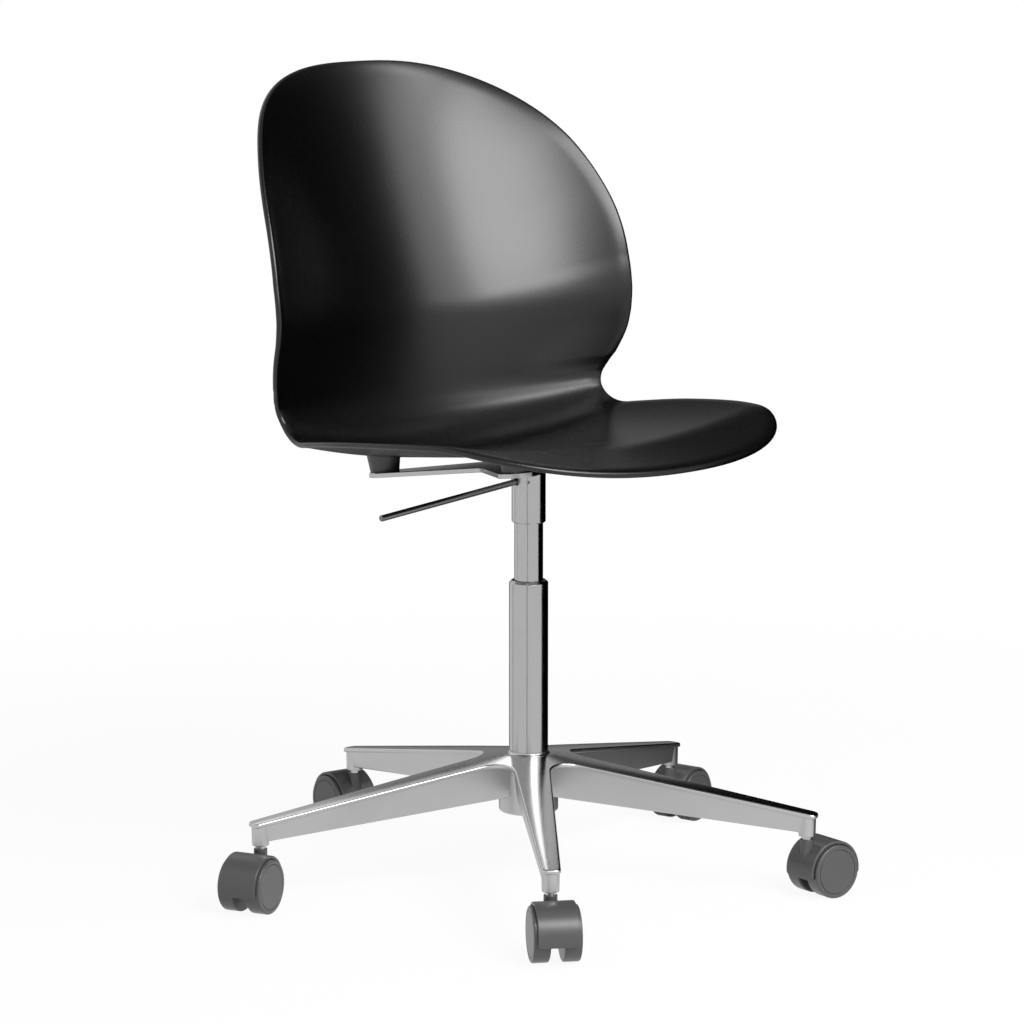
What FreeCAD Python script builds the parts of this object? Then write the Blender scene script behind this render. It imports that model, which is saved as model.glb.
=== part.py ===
import FreeCAD, Part
import math
import os
import re
import Sketcher
from FreeCAD import Base, Placement, Rotation, Vector

# A swivel chair: a thin moulded shell on an X-shaped plate, a gas spring column and a
# five-arm base on twin-wheel casters. Millimetres and degrees; Z is up, the sitter faces -Y,
# and the origin lies on the floor under the column.

doc = FreeCAD.newDocument("swivel_chair")

# Driving dimensions
dims = doc.addObject("Spreadsheet::Sheet", "Dims")
SIZES = [
    # casters
    ("caster_height", 60.6, "floor to the underside of the sockets"),
    ("caster_circle", 276, "column axis to a caster's swivel axis"),
    ("wheel_diameter", 52.5, "wheel"),
    ("wheel_width", 16, "wheel, tread to outer face"),
    ("wheel_bevel", 2, "bevel at the wheel's edges"),
    ("wheel_ring", 4.2, "raised ring round the wheel's outer face"),
    ("wheel_groove", 0.8, "groove inside that ring"),
    ("web_thickness", 12, "hood's middle wall, between the wheels"),
    ("side_gap", 0.5, "wheel's inner face to the middle wall"),
    ("trail", 20, "swivel axis to axle"),
    ("axle_diameter", 6, "axle"),
    ("axle_depth", 12, "axle's reach into a wheel"),
    ("axle_boss", 16, "round boss about the axle"),
    ("hood_gap", 0.9, "tread to hood"),
    ("hood_wall", 2.6, "hood wall"),
    ("hood_length", 38.5, "hood along the axle"),
    ("skirt_height", 20, "floor to the hood's lower edges"),
    ("neck_diameter", 13, "hood's neck"),
    ("stem_show", 3, "stem between neck and socket"),
    ("stem_diameter", 10, "stem in the socket"),
    ("stem_foot_diameter", 8, "stem in the hood"),
    ("stem_foot_length", 23, "stem's reach into the hood"),
    ("grip_ring_height", 1.6, "spring ring on the stem"),
    ("grip_ring_depth", 0.7, "groove for the spring ring"),
    # base
    ("tip_height", 23.4, "socket underside to the top of an arm's tip"),
    ("root_height", 71.1, "socket underside to the arms' top at the hub"),
    ("collar_lift", 1.3, "tube's seat above the arms' top"),
    ("collar_round", 1.2, "sweep from the arms' top to the tube's seat"),
    ("hub_lift", 9.3, "socket underside to the underside of the hub"),
    ("flange_thickness", 4, "arm's top flange"),
    ("root_width", 38.9, "arm's flange, run in to the column axis"),
    ("tip_width", 18.7, "arm's flange at the socket"),
    ("tip_overhang", 10, "arm's end past the socket's axis"),
    ("tip_corner", 6, "corner of an arm's end"),
    ("valley_radius", 24, "flange's inner corner between arms"),
    ("web_inset", 1.5, "arm's side, set in from the flange"),
    ("web_root_lift", 29, "socket underside to the arm's lower edge at the hub"),
    ("web_tip_lift", 3.5, "socket underside to the arm's lower edge at the tip"),
    ("web_draft", 6, "slope of the arm's sides, degrees"),
    ("hub_diameter", 58, "hub under the flange"),
    ("socket_diameter", 16.4, "socket at its foot"),
    ("socket_draft", 0.6, "socket's growth towards the flange"),
    ("socket_depth", 16.5, "bore for the stem"),
    # column
    ("tube_diameter", 38, "outer tube"),
    ("tube_bore", 32, "outer tube, for the bush"),
    ("tube_show", 168.85, "outer tube above the hub"),
    ("tube_round", 4, "bevel at the tube's top"),
    ("spigot_diameter", 34, "tube's foot inside the hub"),
    ("spigot_bore", 29.4, "tube's foot, inside"),
    ("spigot_lift", 2.6, "hub underside to the tube's foot"),
    ("lip_thickness", 3, "inward lip at the tube's foot"),
    ("lip_bore", 20, "hole in that lip"),
    ("bush_length", 95, "guide bush"),
    ("floor_thickness", 4, "tube floor"),
    ("race_thickness", 2, "bearing race"),
    ("race_diameter", 26, "bearing race"),
    ("ball_diameter", 3.2, "bearing ball"),
    ("ball_circle", 18, "circle through the balls"),
    ("cage_thickness", 1.6, "ball cage"),
    ("rod_diameter", 10, "piston rod"),
    ("rod_collar_diameter", 15, "rod's collar on the bearing"),
    ("rod_collar_height", 4, "rod's collar on the bearing"),
    ("rod_groove_depth", 1, "groove for the rod's clip"),
    ("rod_foot", 1.2, "rod below its clip"),
    ("clip_diameter", 16, "rod's clip"),
    ("clip_thickness", 1.4, "rod's clip"),
    ("piston_lift", 154, "bearing to piston, along the rod"),
    ("piston_height", 18, "piston"),
    ("piston_core", 8, "rod's end inside the piston"),
    ("nut_height", 4, "nut on the piston"),
    ("nut_diameter", 14, "nut on the piston"),
    ("seal_height", 3, "piston seal"),
    ("seal_depth", 2, "piston seal"),
    ("cylinder_diameter", 28, "gas cylinder"),
    ("cylinder_wall", 2, "gas cylinder"),
    ("cylinder_head", 8, "gas cylinder's closed top"),
    ("cylinder_length", 226, "gas cylinder"),
    ("gland_height", 10, "gas cylinder's lower seal"),
    ("rest_extension", 57, "gas cylinder between tube and sleeve, as it stands"),
    # sleeve and lever
    ("sleeve_diameter", 33, "sleeve under the plate"),
    ("sleeve_grip", 26, "gas cylinder inside the sleeve"),
    ("sleeve_chamber", 25, "lever's chamber in the sleeve"),
    ("sleeve_length", 54.3, "sleeve, along the column's axis"),
    ("sleeve_bevel", 0.8, "bevel at the sleeve's foot"),
    ("lever_diameter", 6, "release lever"),
    ("lever_reach", 182, "column axis to the lever's tip"),
    ("lever_tail", 5, "lever past the column axis, inside"),
    ("lever_droop", 6, "lever's slope, degrees"),
    ("lever_travel", 7, "lever's lift, degrees"),
    ("lever_lift", 41.2, "sleeve's foot to the lever's pivot"),
    ("lever_pivot", 11, "column axis to the lever's pivot"),
    ("lever_bevel", 0.8, "bevel at the lever's ends"),
    ("pivot_diameter", 3, "lever's pin"),
    ("button_diameter", 6, "release button"),
    ("button_root", 4, "release button below the cylinder's head"),
    # plate, bosses and screws
    ("seat_rake", 7, "seat and plate, front up, degrees"),
    ("plate_thickness", 4.8, "X-shaped plate"),
    ("plate_notch", 60, "column axis to the plate's notches"),
    ("plate_notch_radius", 12, "inner corner of a notch"),
    ("plate_end_radius", 15, "end of the plate's arms"),
    ("plate_round", 0.8, "rounding of the plate's edges"),
    ("boss_spread_side", 196, "bosses, left to right"),
    ("boss_spread_deep", 200, "bosses, front to rear"),
    ("boss_height", 13.8, "boss between plate and shell"),
    ("boss_foot", 28, "boss on the plate"),
    ("boss_head", 32, "boss under the shell"),
    ("insert_diameter", 8.4, "threaded insert"),
    ("insert_length", 10, "threaded insert"),
    ("screw_diameter", 6, "plate screw"),
    ("screw_head", 12, "countersunk head"),
    ("screw_sink", 3, "countersink depth"),
    # shell
    ("shell_thickness", 6, "shell"),
    ("rim_round", 2.9, "rounding of the shell's rim"),
    ("seat_width", 437, "seat at its widest"),
    ("waist_width", 404, "waist at the bend"),
    ("back_width", 442.8, "back at its widest"),
    ("front_reach", 220.1, "column axis to the seat's front edge"),
    ("lip_start", 125, "column axis to the turn of the front lip"),
    ("lip_drop", 19, "front edge below the seat"),
    ("lip_radius", 160, "turn of the front lip"),
    ("seat_rear", 146.9, "column axis to the seat's corner with the back"),
    ("bend_radius", 66, "bend from seat to back"),
    ("lumbar_rise", 134, "seat to the turn of the back"),
    ("lumbar_setback", 4.9, "turn of the back behind the seat's corner"),
    ("lumbar_radius", 100, "turn of the back"),
    ("top_rise", 387.9, "seat to the top edge"),
    ("top_setback", 73.3, "top edge behind the seat's corner"),
    ("waist_drop", 38.9, "waist below the upper end of the bend"),
    ("back_widest", 40.5, "upper end of the bend to the back's widest line"),
    ("front_dish", 23.3, "hollow of the seat at its front edge"),
    ("seat_dish", 30.1, "hollow of the seat at the bend"),
    ("back_dish", 87.5, "hollow of the back"),
    ("top_dish", 55.2, "hollow at the top edge"),
    ("dish_lead", 15.4, "start of the back's hollow below the upper end of the bend"),
    ("dish_run", 172.9, "length over which the back's hollow grows"),
    ("top_run", 118.9, "length over which it eases at the top"),
    ("turn_ease", 8, "how far the sides ease the turns of the centre line"),
    # fits
    ("running_fit", 0.05, "radial room of a turning or sliding fit"),
    ("end_play", 0.1, "room at the end of a turning piece"),
    ("ball_room", 0.02, "room above a ball"),
    ("lever_room", 0.4, "room round the lever in the sleeve"),
    ("seat_fit", 0.03, "radial room of a piece that is pressed in"),
]
# Rest angles of the five casters' trails, as they stand, degrees from +X
CASTER_TURNS = {"a": 205.0, "b": 239.0, "c": -4.0, "d": 14.0, "e": 85.0}

# Heights and places that follow from the driving dimensions
levels = doc.addObject("Spreadsheet::Sheet", "Levels")
FORMULAS = [
    ("axle_level", "wheel_diameter / 2"),
    ("neck_top", "caster_height - stem_show"),
    ("hood_radius", "wheel_diameter / 2 + hood_gap + hood_wall"),
    ("wheel_inner", "web_thickness / 2 + side_gap"),
    ("root_top", "caster_height + root_height"),
    ("top_slope", "(root_height - tip_height) / caster_circle"),
    ("collar_top", "root_top - top_slope * tube_diameter / 2 + collar_lift"),
    ("hub_bottom", "caster_height + hub_lift"),
    ("stem_top", "caster_height + socket_depth"),
    ("grip_level", "caster_height + socket_depth / 2"),
    ("spigot_foot", "hub_bottom + spigot_lift"),
    ("floor_level", "spigot_foot + lip_thickness"),
    ("bearing_level", "floor_level + floor_thickness"),
    ("ball_level", "bearing_level + race_thickness + ball_diameter / 2"),
    ("upper_race_level", "bearing_level + race_thickness + ball_diameter + ball_room"),
    ("rod_collar_level", "upper_race_level + race_thickness"),
    ("clip_top", "floor_level - end_play"),
    ("piston_level", "rod_collar_level + rod_collar_height + piston_lift"),
    ("tube_top", "collar_top + tube_show"),
    ("sleeve_foot", "tube_top + rest_extension"),
    ("cylinder_top", "sleeve_foot + sleeve_grip"),
    ("cylinder_foot", "cylinder_top - cylinder_length"),
    ("cylinder_bore", "cylinder_diameter - 2 * cylinder_wall"),
    ("plate_underside", "sleeve_foot + sleeve_length"),
    ("plate_top", "plate_underside + plate_thickness / cos(seat_rake)"),
    ("pivot_level", "sleeve_foot + lever_lift"),
    ("lever_underside", "(lever_pivot - button_diameter / 2) * tan(lever_droop)"
                        " - lever_diameter / 2 / cos(lever_droop)"),
    ("button_top", "pivot_level + lever_underside - end_play"),
]

home = {}
for sheet, rows in ((dims, SIZES), (levels, FORMULAS)):
    for row, (alias, *_) in enumerate(rows, start=1):
        home[alias] = sheet


def bound(text):
    """The expression with the sheet's name before each alias."""
    return re.sub(r"[a-z_]+", lambda m: f"{home[m[0]].Name}.{m[0]}" if m[0] in home else m[0], text)


for row, (alias, value, note) in enumerate(SIZES, start=1):
    dims.set(f"A{row}", note)
    dims.set(f"B{row}", str(value))
    dims.setAlias(f"B{row}", alias)
doc.recompute()
for row, (alias, formula) in enumerate(FORMULAS, start=1):
    levels.set(f"A{row}", alias)
    levels.setAlias(f"B{row}", alias)
    local = re.sub(r"Levels\.", "", bound(formula))
    levels.set(f"B{row}", "=" + local)
    doc.recompute()


def size(alias):
    """The number in a cell."""
    return float(home[alias].get(alias))


def number(text):
    """The value of an expression."""
    return float(dims.evalExpression(bound(text)))


pieces = {}


def keep(label, item):
    """Name a finished piece; its label is its file's name."""
    item.Label = label
    pieces[label] = item
    return item


def lathe(name, outline):
    """A turned body: a closed outline of (radius, height) expressions about the Z axis."""
    body = doc.addObject("PartDesign::Body", name)
    sketch = body.newObject("Sketcher::SketchObject", name + "_outline")
    plane = next(item for item in body.Origin.OriginFeatures if item.Role == "XZ_Plane")
    sketch.AttachmentSupport = [(plane, "")]
    sketch.MapMode = "FlatFace"
    points = [Vector(number(radius), number(height), 0) for radius, height in outline]
    count = len(points)
    for index, point in enumerate(points):
        sketch.addGeometry(Part.LineSegment(point, points[(index + 1) % count]), False)
    for index in range(count):
        sketch.addConstraint(Sketcher.Constraint("Coincident", index, 2, (index + 1) % count, 1))
    for index, (radius, height) in enumerate(outline):
        if radius == "0":
            sketch.addConstraint(Sketcher.Constraint("PointOnObject", index, 1, -2))
        else:
            across = Sketcher.Constraint("DistanceX", -1, 1, index, 1, points[index].x)
            sketch.setExpression(f"Constraints[{sketch.addConstraint(across)}]", bound(radius))
        if height == "0":
            sketch.addConstraint(Sketcher.Constraint("PointOnObject", index, 1, -1))
        else:
            upward = Sketcher.Constraint("DistanceY", -1, 1, index, 1, points[index].y)
            sketch.setExpression(f"Constraints[{sketch.addConstraint(upward)}]", bound(height))
    turned = body.newObject("PartDesign::Revolution", name + "_turned")
    turned.Profile = sketch
    turned.ReferenceAxis = (sketch, ["V_Axis"])
    turned.Angle = 360
    sketch.Visibility = False
    return body


def ring(name, inner, outer, low, high):
    """A turned ring between two radii and two heights."""
    return lathe(name, [(inner, low), (outer, low), (outer, high), (inner, high)])


def cylinder(name, radius, height, place=Placement(), **base):
    """A cylinder with bound sizes; base gives bound coordinates of its foot."""
    item = doc.addObject("Part::Cylinder", name)
    item.setExpression("Radius", bound(radius))
    item.setExpression("Height", bound(height))
    item.Placement = place
    for axis, text in base.items():
        item.setExpression(f"Placement.Base.{axis}", bound(text))
    return item


def box(name, sizes, base):
    """A box with bound sizes and a bound low corner."""
    item = doc.addObject("Part::Box", name)
    for side, text in zip(("Length", "Width", "Height"), sizes):
        item.setExpression(side, bound(text))
    for axis, text in zip("xyz", base):
        item.setExpression(f"Placement.Base.{axis}", bound(text))
    return item


def cut(name, base, tools):
    """Base less every tool."""
    for index, tool in enumerate(tools):
        item = doc.addObject("Part::Cut", f"{name}_cut{index}")
        item.Base, item.Tool = base, tool
        base = item
    return base


def fuse(name, items):
    """All the items as one solid."""
    item = doc.addObject("Part::MultiFuse", name + "_fused")
    item.Shapes = items
    return item


def copy_of(label, master, place):
    """A piece like its master, set in its own place."""
    doc.recompute()
    item = doc.addObject("Part::Feature", label)
    item.Shape = master.Shape.copy()
    item.Placement = place.multiply(master.Placement)
    return keep(label, item)


def shaped(label, shape, place=Placement()):
    """A piece with a shape worked out from the sheet."""
    item = doc.addObject("Part::Feature", label)
    item.Shape = shape
    item.Placement = place
    return keep(label, item)


def rounded(corners, closed=True):
    """Lines through (point, radius) corners, with a tangent arc at each corner that has a radius."""
    count = len(corners)
    starts, ends, arcs = [], [], []
    for index, (point, radius) in enumerate(corners):
        if radius == 0 or (not closed and index in (0, count - 1)):
            starts.append(point)
            ends.append(point)
            arcs.append(None)
            continue
        back = (corners[index - 1][0] - point).normalize()
        ahead = (corners[(index + 1) % count][0] - point).normalize()
        half = back.getAngle(ahead) / 2
        middle = (back + ahead).normalize()
        centre = point + middle * (radius / math.sin(half))
        starts.append(point + back * (radius / math.tan(half)))
        ends.append(point + ahead * (radius / math.tan(half)))
        arcs.append(Part.Arc(starts[-1], centre - middle * radius, ends[-1]).toShape())
    edges = []
    for index in range(count):
        if arcs[index]:
            edges.append(arcs[index])
        if closed or index < count - 1:
            edges.append(Part.LineSegment(ends[index], starts[(index + 1) % count]).toShape())
    return Part.Wire(edges)


def prism(wire, low, high):
    """A flat outline drawn at height 0, extruded between two heights."""
    face = Part.Face(wire)
    face.translate(Vector(0, 0, low))
    return face.extrude(Vector(0, 0, high - low))


def spun(corners):
    """A solid of revolution about Z from (radius, height, corner radius) rows."""
    wire = rounded([(Vector(radius, 0, height), turn) for radius, height, turn in corners])
    return Part.Face(wire).revolve(Vector(), Vector(0, 0, 1), 360)


# Five-arm base: a cast star with a raised flange on top, sides set in below it, a hub that
# takes the column and a socket at each tip. One arm points straight back.
ARMS = 5
ARM_NAMES = "eabcd"
REAR = 90.0


def arm_angle(index):
    return REAR + index * 360.0 / ARMS


def star(root_half, tip_half, reach, tip_corner, valley):
    """The star's outline: tapered arms with rounded ends and rounded valleys between them."""
    step = math.radians(180.0 / ARMS)
    taper = (root_half - tip_half) / size("caster_circle")
    meet = root_half / (math.tan(step) + taper)
    end_half = root_half - taper * reach
    corners = []
    for index in range(ARMS):
        turn = Rotation(Vector(0, 0, 1), arm_angle(index))
        for along, across, radius in ((meet, -meet * math.tan(step), valley),
                                      (reach, -end_half, tip_corner),
                                      (reach, end_half, tip_corner)):
            corners.append((turn.multVec(Vector(along, across, 0)), radius))
    return rounded(corners)


tip_reach = size("caster_circle") + size("tip_overhang")
collar_half = size("tube_diameter") / 2
past_tip = tip_reach + size("tip_width")
bore_half = size("spigot_diameter") / 2 + size("seat_fit")


def arm_top(radius):
    """Height of the arms' top at a distance from the column."""
    return size("root_top") - size("top_slope") * radius


flange_band = spun([
    (bore_half, size("collar_top"), 0),
    (collar_half, size("collar_top"), 0),
    (collar_half, arm_top(collar_half), min(size("collar_round"), size("collar_lift"))),
    (past_tip, arm_top(past_tip), 0),
    (past_tip, arm_top(past_tip) - size("flange_thickness"), 0),
    (bore_half, arm_top(bore_half) - size("flange_thickness"), 0),
])
flange_outline = star(size("root_width") / 2, size("tip_width") / 2, tip_reach,
                      size("tip_corner"), size("valley_radius"))
flange = prism(flange_outline, size("caster_height"), size("collar_top")).common(flange_band)

web_slope = (size("web_root_lift") - size("web_tip_lift")) / size("caster_circle")
web_root = size("caster_height") + size("web_root_lift")


def web_section(radius, width):
    """An arm's upright section below its flange, narrower at its lower edge."""
    high = arm_top(radius) - size("flange_thickness") / 2
    low = web_root - web_slope * radius
    top_half = width / 2 - size("web_inset")
    low_half = top_half - (high - low) * math.tan(math.radians(size("web_draft")))
    return Part.makePolygon([Vector(radius, across, height) for across, height in (
        (-low_half, low), (low_half, low), (top_half, high), (-top_half, high), (-low_half, low))])


web = Part.makeLoft([web_section(0, size("root_width")),
                     web_section(size("caster_circle"), size("tip_width"))], True, True)
webs = []
for index in range(ARMS):
    placed_web = web.copy()
    placed_web.Placement = Placement(Vector(), Rotation(Vector(0, 0, 1), arm_angle(index)))
    webs.append(placed_web)
hub_half = size("hub_diameter") / 2
hub_top = arm_top(hub_half) - size("flange_thickness") / 2
hub = Part.makeCylinder(hub_half, hub_top - size("hub_bottom"), Vector(0, 0, size("hub_bottom")))
star_solid = flange.multiFuse(webs + [hub])

socket_top = arm_top(size("caster_circle") + size("socket_diameter") / 2) - size("flange_thickness") / 2
sockets, bores = [], []
for index in range(ARMS):
    foot = Rotation(Vector(0, 0, 1), arm_angle(index)).multVec(
        Vector(size("caster_circle"), 0, size("caster_height")))
    sockets.append(Part.makeCone(size("socket_diameter") / 2,
                                 (size("socket_diameter") + size("socket_draft")) / 2,
                                 socket_top - size("caster_height"), foot))
    bores.append(Part.makeCylinder(size("stem_diameter") / 2 + size("running_fit"),
                                   size("socket_depth"), foot))
bores.append(Part.makeCylinder(bore_half, size("collar_top"), Vector()))
base_shape = star_solid.multiFuse(sockets).cut(bores).removeSplitter()
shaped("base_star", base_shape.Solids[0])

# Column: outer tube on the hub, guide bush, floor and thrust bearing
keep("column_tube", lathe("column_tube", [
    ("lip_bore / 2", "spigot_foot"),
    ("spigot_diameter / 2", "spigot_foot"),
    ("spigot_diameter / 2", "collar_top"),
    ("tube_diameter / 2", "collar_top"),
    ("tube_diameter / 2", "tube_top - tube_round"),
    ("tube_diameter / 2 - tube_round / 3", "tube_top - tube_round / 3"),
    ("tube_diameter / 2 - tube_round / 2", "tube_top"),
    ("tube_bore / 2", "tube_top"),
    ("tube_bore / 2", "tube_top - bush_length"),
    ("spigot_bore / 2", "tube_top - bush_length"),
    ("spigot_bore / 2", "floor_level"),
    ("lip_bore / 2", "floor_level"),
]))
keep("guide_bush", ring("guide_bush", "cylinder_diameter / 2 + running_fit", "tube_bore / 2 - seat_fit",
                        "tube_top - bush_length", "tube_top"))
keep("tube_floor", ring("tube_floor", "rod_diameter / 2 + running_fit", "spigot_bore / 2 - seat_fit",
                        "floor_level", "bearing_level"))
keep("bearing_lower_race", ring("bearing_lower_race", "rod_diameter / 2 + running_fit", "race_diameter / 2",
                                "bearing_level", "bearing_level + race_thickness"))
keep("bearing_upper_race", ring("bearing_upper_race", "rod_diameter / 2 + seat_fit", "race_diameter / 2",
                                "upper_race_level", "rod_collar_level"))

BALLS = 12
ball_places = [Rotation(Vector(0, 0, 1), index * 360.0 / BALLS).multVec(
    Vector(size("ball_circle") / 2, 0, size("ball_level"))) for index in range(BALLS)]
shaped("bearing_balls", Part.makeCompound([Part.makeSphere(size("ball_diameter") / 2, place)
                                           for place in ball_places]))
cage_low = size("ball_level") - size("cage_thickness") / 2
cage = Part.makeCylinder(size("race_diameter") / 2, size("cage_thickness"), Vector(0, 0, cage_low))
cage_hole = size("ball_circle") - size("race_diameter") / 2
cage = cage.cut([Part.makeCylinder(cage_hole, size("cage_thickness"), Vector(0, 0, cage_low))]
                + [Part.makeCylinder(size("ball_diameter") / 2 + size("end_play"), size("cage_thickness"),
                                     Vector(place.x, place.y, cage_low)) for place in ball_places])
shaped("ball_cage", cage.Solids[0])

# Piston rod: hangs by its collar on the bearing, held below the floor by a clip
keep("piston_rod", lathe("piston_rod", [
    ("0", "clip_top - clip_thickness - rod_foot"),
    ("rod_diameter / 2", "clip_top - clip_thickness - rod_foot"),
    ("rod_diameter / 2", "clip_top - clip_thickness"),
    ("rod_diameter / 2 - rod_groove_depth", "clip_top - clip_thickness"),
    ("rod_diameter / 2 - rod_groove_depth", "clip_top"),
    ("rod_diameter / 2", "clip_top"),
    ("rod_diameter / 2", "rod_collar_level"),
    ("rod_collar_diameter / 2", "rod_collar_level"),
    ("rod_collar_diameter / 2", "rod_collar_level + rod_collar_height"),
    ("rod_diameter / 2", "rod_collar_level + rod_collar_height"),
    ("rod_diameter / 2", "piston_level"),
    ("piston_core / 2", "piston_level"),
    ("piston_core / 2", "piston_level + piston_height + nut_height"),
    ("0", "piston_level + piston_height + nut_height"),
]))
keep("rod_clip", ring("rod_clip", "rod_diameter / 2 - rod_groove_depth + seat_fit", "clip_diameter / 2",
                      "clip_top - clip_thickness", "clip_top"))
piston_half = "cylinder_bore / 2 - running_fit"
keep("piston", lathe("piston", [
    ("piston_core / 2 + seat_fit", "piston_level"),
    (piston_half, "piston_level"),
    (piston_half, "piston_level + (piston_height - seal_height) / 2"),
    (piston_half + " - seal_depth", "piston_level + (piston_height - seal_height) / 2"),
    (piston_half + " - seal_depth", "piston_level + (piston_height + seal_height) / 2"),
    (piston_half, "piston_level + (piston_height + seal_height) / 2"),
    (piston_half, "piston_level + piston_height"),
    ("piston_core / 2 + seat_fit", "piston_level + piston_height"),
]))
keep("piston_seal", ring("piston_seal", piston_half + " - seal_depth + seat_fit", piston_half,
                         "piston_level + (piston_height - seal_height) / 2",
                         "piston_level + (piston_height + seal_height) / 2"))
keep("piston_nut", ring("piston_nut", "piston_core / 2 + seat_fit", "nut_diameter / 2",
                        "piston_level + piston_height", "piston_level + piston_height + nut_height"))

# Gas cylinder: closed at the top but for the release button, sealed round the rod below
keep("gas_cylinder", lathe("gas_cylinder", [
    ("cylinder_bore / 2", "cylinder_foot"),
    ("cylinder_diameter / 2", "cylinder_foot"),
    ("cylinder_diameter / 2", "cylinder_top"),
    ("button_diameter / 2 + running_fit", "cylinder_top"),
    ("button_diameter / 2 + running_fit", "cylinder_top - cylinder_head"),
    ("cylinder_bore / 2", "cylinder_top - cylinder_head"),
]))
keep("cylinder_gland", ring("cylinder_gland", "rod_diameter / 2 + running_fit",
                            "cylinder_bore / 2 - seat_fit", "cylinder_foot", "cylinder_foot + gland_height"))
keep("release_button", lathe("release_button", [
    ("0", "cylinder_top - cylinder_head - button_root"),
    ("button_diameter / 2", "cylinder_top - cylinder_head - button_root"),
    ("button_diameter / 2", "button_top"),
    ("0", "button_top"),
]))

# Sleeve: grips the cylinder's head, holds the lever's pin, and is cut to the plate's rake
raked = Placement(Vector(0, 0, size("plate_top")), Rotation(Vector(1, 0, 0), -size("seat_rake")))
sleeve_blank = lathe("sleeve_blank", [
    ("cylinder_diameter / 2 + seat_fit", "sleeve_foot"),
    ("sleeve_diameter / 2 - sleeve_bevel", "sleeve_foot"),
    ("sleeve_diameter / 2", "sleeve_foot + sleeve_bevel"),
    ("sleeve_diameter / 2", "plate_underside + sleeve_diameter / 2"),
    ("sleeve_chamber / 2", "plate_underside + sleeve_diameter / 2"),
    ("sleeve_chamber / 2", "cylinder_top"),
    ("cylinder_diameter / 2 + seat_fit", "cylinder_top"),
])

doc.recompute()
lever_half = size("lever_diameter") / 2
droop = math.radians(size("lever_droop"))
lifted = math.radians(size("lever_travel") - size("lever_droop"))
pivot = Vector(-size("lever_pivot"), 0, size("pivot_level"))
wall_run = size("sleeve_diameter") / 2 - size("lever_pivot")
slot_low = pivot.z - wall_run * math.tan(droop) - lever_half / math.cos(droop) - size("lever_room")
slot_high = pivot.z + wall_run * math.tan(lifted) + lever_half / math.cos(lifted) + size("lever_room")
slot_half = lever_half + size("lever_room")
slot = Part.makeBox(size("sleeve_diameter") / 2, 2 * slot_half, slot_high - slot_low,
                    Vector(-size("sleeve_diameter"), -slot_half, slot_low))
slot.translate(Vector(wall_run, 0, 0))
clear = size("sleeve_diameter")
above_plate = Part.makeBox(2 * clear, 2 * clear, 2 * clear, Vector(-clear, -clear, -size("plate_thickness")))
above_plate.Placement = raked
pin_half = math.sqrt((size("sleeve_diameter") / 2) ** 2 - size("lever_pivot") ** 2) - size("sleeve_bevel")


def across(radius, half_length):
    """A cylinder along Y through the lever's pivot."""
    return Part.makeCylinder(radius, 2 * half_length, pivot - Vector(0, half_length, 0), Vector(0, 1, 0))


pin_radius = size("pivot_diameter") / 2
pin_hole = across(pin_radius + size("seat_fit"), size("sleeve_diameter"))
shaped("sleeve", sleeve_blank.Shape.cut([slot, above_plate, pin_hole]))
shaped("lever_pin", across(pin_radius, pin_half))

# Release lever: a straight rod, bevelled at both ends, drilled for its pin
lever_rod = lathe("lever_rod", [
    ("0", "0"),
    ("lever_diameter / 2 - lever_bevel", "0"),
    ("lever_diameter / 2", "lever_bevel"),
    ("lever_diameter / 2", "(lever_reach + lever_tail) / cos(lever_droop) - lever_bevel"),
    ("lever_diameter / 2 - lever_bevel", "(lever_reach + lever_tail) / cos(lever_droop)"),
    ("0", "(lever_reach + lever_tail) / cos(lever_droop)"),
])
outward = Vector(-math.cos(droop), 0, -math.sin(droop))
lever_tail = pivot - outward * ((size("lever_pivot") + size("lever_tail")) / math.cos(droop))
lever_rod.Placement = Placement(lever_tail, Rotation(Vector(0, 0, 1), outward))
doc.recompute()
shaped("lever", lever_rod.Shape.cut(across(pin_radius + size("running_fit"), size("sleeve_diameter"))))

# X-shaped plate: flat, four arms with round ends, notched between them, raked with the seat
side, deep = size("boss_spread_side") / 2, size("boss_spread_deep") / 2
end_radius = size("plate_end_radius")
boss_places = [Vector(side, deep, 0), Vector(-side, deep, 0),
               Vector(-side, -deep, 0), Vector(side, -deep, 0)]
notches = [Vector(0, 1, 0), Vector(-1, 0, 0), Vector(0, -1, 0), Vector(1, 0, 0)]
plate_corners = []
for place, notch in zip(boss_places, notches):
    outwards = Vector(place).normalize()
    sideways = Vector(-outwards.y, outwards.x, 0)
    for hand in (-1, 1):
        plate_corners.append((place + (outwards + sideways * hand) * end_radius, end_radius - size("seat_fit")))
    plate_corners.append((notch * size("plate_notch"), size("plate_notch_radius")))
plate_outline = rounded(plate_corners)
plate = prism(plate_outline, -size("plate_thickness"), 0)
level_edges = [edge for edge in plate.Edges
               if abs(edge.Vertexes[0].Z - edge.Vertexes[-1].Z) < size("seat_fit")]
plate = plate.makeFillet(size("plate_round"), level_edges)
screw_half = size("screw_diameter") / 2
screw_heads = [Part.makeCone(size("screw_head") / 2, screw_half, size("screw_sink"),
                             place - Vector(0, 0, size("plate_thickness"))) for place in boss_places]
screw_holes = [Part.makeCylinder(screw_half + size("end_play"), size("plate_thickness"),
                                 place - Vector(0, 0, size("plate_thickness"))) for place in boss_places]
shaped("support_plate", plate.cut(screw_heads + screw_holes), raked)
screws = [head.fuse(Part.makeCylinder(screw_half, size("plate_thickness") + size("insert_length"),
                                      place - Vector(0, 0, size("plate_thickness")))).removeSplitter()
          for head, place in zip(screw_heads, boss_places)]
shaped("plate_screws", Part.makeCompound(screws), raked)
insert_half = size("insert_diameter") / 2
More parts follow.
